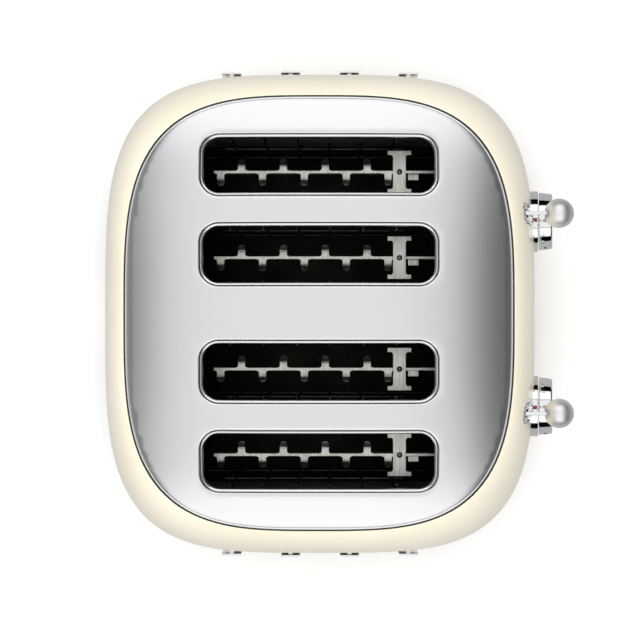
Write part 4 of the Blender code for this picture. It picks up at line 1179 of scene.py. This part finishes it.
def bread_rack(number, y, body):
    """An upright blade with bent fingers to both sides, a riveted cross strap and a small tab."""
    half = BLADE_WALL / 2
    node = f"bread_rack_{number}"
    low = (BLADE_REAR_X, y - half, RACK_Z - BLADE_HEIGHT)
    blade = block(low, (BLADE_FRONT_X, y + half, RACK_Z - 0.02 * MM))
    shown(f"rack_blade_{number}", blade, GALVANISED, body, [node], round_over=0.35 * MM)
    fingers = [rack_finger(FINGER_FIRST_X + i * FINGER_PITCH, y, -1) for i in range(5)]
    fingers += [rack_finger(FINGER_FIRST_X + (i + 0.5) * FINGER_PITCH, y, 1) for i in range(4)]
    shown(f"rack_fingers_{number}", joined(fingers), GALVANISED, body, round_over=0.2 * MM)
    strap = plate(strap_outline(y), STRAP_TOP_Z - STRAP_SHEET, STRAP_TOP_Z)
    shown(f"rack_strap_{number}", strap, GALVANISED, body, round_over=0.3 * MM)
    profile = [(1.9 * MM, 0), (1.8 * MM, 0.35 * MM), (1.3 * MM, 0.7 * MM), (0.5 * MM, 0.85 * MM)]
    rivet = turned(profile, "Z", (STRAP_X, y, STRAP_TOP_Z), 24)
    shown(f"strap_rivet_{number}", rivet, WIRE, body)
    tab_z = RACK_Z - BLADE_HEIGHT / 2
    long, wide, thick = TAB_SIZE
    tab = block((TAB_X, y - wide, tab_z), (TAB_X + long, y, tab_z + thick))
    shown(f"rack_tab_{number}", tab, GALVANISED, body, round_over=0.3 * MM)


def lifting_gear():
    """Racks, carriages, rods and springs."""
    for number, centre in enumerate(SLOT_CENTRES, 1):
        bread_rack(number, centre, "lift_1" if number < 3 else "lift_2")
    for number, pair in enumerate(PAIRS, 1):
        finish_node(f"carriage_{number}", GALVANISED, 0.3 * MM)
        low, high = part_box(f"guide_rod_{number}")
        edge = 0.5 * MM
        profile = [(ROD_END_RADIUS, low.z), (ROD_RADIUS, low.z + edge)]
        profile += [(ROD_RADIUS, high.z - edge), (ROD_END_RADIUS, high.z)]
        rod = turned(profile, "Z", (ROD_X, pair, 0), 40)
        shown(f"ground_rod_{number}", rod, CHROME, "chassis", [f"guide_rod_{number}"])
        name = f"lift_spring_{number}"
        spring = shown(name, spring_coil(pair), WIRE, "chassis", [f"return_spring_{number}"])
        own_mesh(spring)


def spring_coil(pair):
    """A round-wire coil with closed, flat end turns."""
    points = []
    steps = SPRING_TURNS * 28
    length = SPRING_TOP_Z - SPRING_BOTTOM_Z - SPRING_WIRE
    for i in range(steps + 1):
        share = i / steps
        angle = 2 * math.pi * SPRING_TURNS * share
        climb = min(max((share - 0.08) / 0.84, 0), 1)
        z = SPRING_BOTTOM_Z + SPRING_WIRE / 2 + length * climb
        points.append((ROD_X + SPRING_RADIUS * math.cos(angle), pair + SPRING_RADIUS * math.sin(angle), z))
    return wire(points, SPRING_WIRE / 2, 8)


# ---- Levers, dials and buttons ----


def levers():
    """Chrome arms, balls and slot frames."""
    for number, pair in enumerate(PAIRS, 1):
        body = f"lift_{number}"
        low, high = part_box(f"lever_arm_{number}")
        arm = block((low.x - body_x, low.y, low.z), (BALL_X - 5 * MM, high.y, high.z))
        name = f"lever_arm_{number}"
        shown(f"chrome_arm_{number}", arm, CHROME, body, [name], round_over=0.5 * MM)
        profile = [(3.4 * MM, -8.8 * MM)]
        for i in range(1, 48):
            angle = math.pi * i / 48
            if -math.cos(angle) > -0.925:
                profile.append((BALL_RADIUS * math.sin(angle), -BALL_RADIUS * math.cos(angle)))
        profile.append((0.15 * MM, BALL_RADIUS))
        ball = turned(profile, "X", (BALL_X, pair, LEVER_Z), 96)
        shown(f"chrome_ball_{number}", ball, SATIN_CHROME, body, [f"lever_ball_{number}"], sharp=60)
        slot_frame(number, pair)


def slot_frame(number, pair):
    """The lever's slot frame: a rounded rim that follows the shell."""
    margin = FRAME_HALF_WIDTH - FRAME_OPENING
    outer = stadium(pair, FRAME_HALF_WIDTH, FRAME_BOTTOM_Z, FRAME_TOP_Z)
    inner = stadium(pair, FRAME_OPENING, FRAME_BOTTOM_Z + margin, FRAME_TOP_Z - margin)
    edge = 0.14
    sections = (
        (0.0, 0.0),
        (0.04, FRAME_PROUD * 0.6),
        (edge, FRAME_PROUD),
        (1 - edge, FRAME_PROUD),
        (0.96, FRAME_PROUD * 0.6),
        (1.0, 0.0),
        (1.0, -FRAME_DEPTH),
        (0.0, -FRAME_DEPTH),
    )
    rings = []
    for inward, out in sections:
        ring = []
        for (y0, z0), (y1, z1) in zip(outer, inner):
            y = y0 + inward * (y1 - y0)
            z = z0 + inward * (z1 - z0)
            ring.append(Vector((surface_x(y, z) + out, y, z)))
        rings.append(ring)
    name = f"lever_frame_{number}"
    shown(f"slot_frame_{number}", skin(rings, closed=True), CHROME, "chassis", [name])


def dials():
    """The fixed ring with its red mark, and the turning knob with its dot and pointer."""
    for number, pair in enumerate(PAIRS, 1):
        bore = SHAFT_RADIUS + 0.6 * MM
        ring = [(bore, -RING_DEPTH), (RING_RADIUS, -RING_DEPTH), (RING_RADIUS, -0.4 * MM)]
        ring += [(RING_RADIUS, RING_PROUD - 0.35 * MM), (RING_RADIUS - 0.1 * MM, RING_PROUD - 0.1 * MM)]
        ring += [(RING_RADIUS - 0.35 * MM, RING_PROUD), (bore, RING_PROUD)]
        seat = dial_turned(ring, pair, closed=True)
        shown(f"dial_seat_{number}", seat, CHROME, "chassis", [f"dial_ring_{number}"])
        low = (-0.3 * MM, -1.1 * MM, RING_RADIUS - 0.3 * MM)
        mark = block(low, (3 * MM, 1.1 * MM, RING_RADIUS + 0.12 * MM))
        shown(f"index_mark_{number}", on_dial(mark, pair), LACQUER, "chassis", round_over=0.1 * MM)
        knob = [(0.2 * MM, -SHAFT_DEPTH), (SHAFT_RADIUS, -SHAFT_DEPTH + 0.3 * MM), (SHAFT_RADIUS, KNOB_SEAT)]
        knob += [(KNOB_RADIUS - 0.5 * MM, KNOB_SEAT), (KNOB_RADIUS - 0.1 * MM, KNOB_SEAT + 0.2 * MM)]
        knob += [(KNOB_RADIUS, KNOB_SEAT + 0.6 * MM), (19.15 * MM, KNOB_REACH - 1.3 * MM)]
        knob += [(18.95 * MM, KNOB_REACH - 0.6 * MM), (18.5 * MM, KNOB_REACH - 0.15 * MM)]
        knob += [(17.8 * MM, KNOB_REACH), (15.6 * MM, KNOB_REACH), (15.2 * MM, KNOB_REACH - 0.6 * MM)]
        knob += [(8 * MM, KNOB_REACH - 0.9 * MM), (0.2 * MM, KNOB_REACH - 0.95 * MM)]
        grip = dial_turned(knob, pair)
        shown(f"dial_grip_{number}", grip, CHROME, f"dial_{number}", [f"dial_knob_{number}"])
        low = (KNOB_REACH - 1 * MM, -0.6 * MM, 6 * MM)
        pointer = on_dial(block(low, (KNOB_REACH - 0.4 * MM, 0.6 * MM, 15 * MM)), pair)
        name = f"dial_pointer_{number}"
        shown(name, pointer, NYLON, f"dial_{number}", round_over=0.15 * MM)
        profile = [(0.95 * MM, 18.9 * MM), (0.95 * MM, 19.75 * MM), (0.6 * MM, 19.9 * MM)]
        dot = turned(profile, "Z", (0, 0, 0), 20)
        turn = Matrix.Rotation(math.radians(72), 3, "X")
        bmesh.ops.rotate(dot, verts=dot.verts, cent=(0, 0, 0), matrix=turn)
        bmesh.ops.translate(dot, verts=dot.verts, vec=(KNOB_SEAT + 4.4 * MM, 0, 0))
        shown(f"dial_dot_{number}", on_dial(dot, pair), NYLON, f"dial_{number}")


def push_buttons():
    """Six chrome buttons with dished faces."""
    number = 1
    for pair in PAIRS:
        for y in button_places(pair):
            low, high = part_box(f"button_{number}")
            face = high.x - body_x
            rear = low.x - body_x
            profile = [(4.6 * MM, rear), (BUTTON_RADIUS, rear + 0.4 * MM), (BUTTON_RADIUS, face - 0.9 * MM)]
            profile += [(4.85 * MM, face - 0.4 * MM), (4.5 * MM, face - 0.1 * MM), (4.1 * MM, face)]
            profile += [(3.6 * MM, face - 0.15 * MM), (2 * MM, face - 0.4 * MM), (0.2 * MM, face - 0.45 * MM)]
            button = turned(profile, "X", (0, y, BUTTON_Z), 48)
            shown(f"push_button_{number}", button, CHROME, f"push_{number}", [f"button_{number}"])
            number += 1


def control_electronics():
    """The circuit board, and four capacitors on its inner face."""
    finish_node("control_board", LAMINATE)
    soften(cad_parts["control_board"], 0.2 * MM, 1)
    profile = [(CAP_RADIUS, 0), (CAP_RADIUS, CAP_LENGTH - 0.6 * MM), (CAP_RADIUS - 0.6 * MM, CAP_LENGTH)]
    for number, pair in enumerate(PAIRS, 1):
        for side, mark in ((-1, "a"), (1, "b")):
            cap = turned(profile, "X", (CAP_X, pair + side * CAP_OFFSET, CAP_Z), 32)
            shown(f"capacitor_{number}_{mark}", cap, NYLON, "chassis")


def crumb_trays():
    """The sliding trays keep their shape and get soft edges."""
    for number in (1, 2):
        finish_node(f"crumb_tray_{number}", TRAY_STEEL, 0.35 * MM)


def chassis_rivets():
    """Rivets along the top edge of each end plate."""
    profile = [(2 * MM, 0), (1.7 * MM, 0.5 * MM), (0.9 * MM, 0.9 * MM)]
    heads = []
    for end in (-1, 1):
        outward = sorted(((radius, end * along) for radius, along in profile), key=lambda p: p[1])
        for y in RIVET_PLACES:
            heads.append(turned(outward, "X", (end * RIVET_X, y, RIVET_Z), 20))
    shown("plate_rivets", joined(heads), WIRE, "chassis")


painted_shell()
satin_panel()
seam_gasket()
panel_bead()
polished_skirt()
rubber_feet()
cord_bush()
trim_tabs()
chassis_plates()
chassis_rivets()
heating_elements()
guide_grids()
lifting_gear()
levers()
dials()
push_buttons()
control_electronics()
crumb_trays()


# ---- Floor, light and camera ----


def flat_sheet(name, z, material):
    """A wide flat sheet of stage at this height."""
    bm = bmesh.new()
    bmesh.ops.create_grid(bm, x_segments=2, y_segments=2, size=4.0)
    bmesh.ops.translate(bm, verts=bm.verts, vec=(0, 0, z))
    mesh = bpy.data.meshes.new(name)
    bm.to_mesh(mesh)
    bm.free()
    mesh.materials.append(material)
    sheet = bpy.data.objects.new(name, mesh)
    bpy.context.scene.collection.objects.link(sheet)
    return sheet


def pale_floor():
    """A plain, near-white floor. Metal mirrors a glowing card under it instead, which keeps its edges clear.
    """
    paper, _, _ = surface("white_studio_paper", Base_Color=colour("#fbfbfc"), Roughness=0.9)
    flat_sheet("floor", 0, paper).visible_glossy = False
    # Painted reflection: a card that glows, seen only in the metal's reflections.
    grey, _, _ = surface(
        "glowing_reflection_card", Base_Color=colour("#000000"), Emission_Color=colour("#fdfcfa"), Emission_Strength=0.5
    )
    flat_sheet("glowing_reflection_card", -20 * MM, grey)


def softbox(name, place, target, size, radiance, in_reflections=True):
    """A flat soft light of this brightness that faces the target."""
    light = bpy.data.lights.new(name, "AREA")
    light.shape = "RECTANGLE"
    light.size, light.size_y = size
    light.energy = radiance * math.pi * size[0] * size[1]
    lamp = bpy.data.objects.new(name, light)
    lamp.location = place
    aim = (Vector(target) - Vector(place)).normalized()
    lamp.rotation_euler = aim.to_track_quat("-Z", "Y").to_euler()
    lamp.visible_glossy = in_reflections
    bpy.context.scene.collection.objects.link(lamp)


def studio_light():
    """An overhead softbox, one to each long side, dim end cards, and fill that metal doesn't mirror."""
    softbox("overhead", (-0.19, 0, 2.2), (-0.19, 0, 0), (3.2, 2.1), 1.06)
    for side in (-1, 1):
        softbox("side", (-0.1, side * 1.9, 1.75), (-0.1, side * 0.9, 0), (3.0, 1.75), 1.5)
    softbox("end_card", (-3.0, 0, 1.1), (0, 0, 0.3), (3.4, 2.2), 0.4)
    softbox("end_card", (3.0, 0, 1.1), (0, 0, 0.3), (3.4, 2.2), 0.2)
    softbox("fill", (-0.3, 0, 2.6), (0, 0, 0), (5.2, 4.6), 0.22, in_reflections=False)
    # The room's pale walls light matt surfaces. Metal sees the cards and the dark between them instead.
    world = bpy.data.worlds.new("pale_studio")
    world.use_nodes = True
    world.node_tree.nodes["Background"].inputs["Color"].default_value = colour("#fffefc")
    world.node_tree.nodes["Background"].inputs["Strength"].default_value = 0.44
    world.cycles_visibility.glossy = False
    bpy.context.scene.world = world


def overhead_camera():
    """A camera straight above, just off the middle of the body."""
    data = bpy.data.cameras.new("overhead_camera")
    data.sensor_width = 36
    data.lens = 86
    camera = bpy.data.objects.new("overhead_camera", data)
    data.shift_x = -0.011
    camera.location = (body_x + 5 * MM, -4.3 * MM, 1150 * MM)
    camera.rotation_euler = (0, 0, 0)
    bpy.context.scene.collection.objects.link(camera)
    bpy.context.scene.camera = camera


pale_floor()
studio_light()
overhead_camera()
bpy.context.scene.view_settings.view_transform = "Standard"
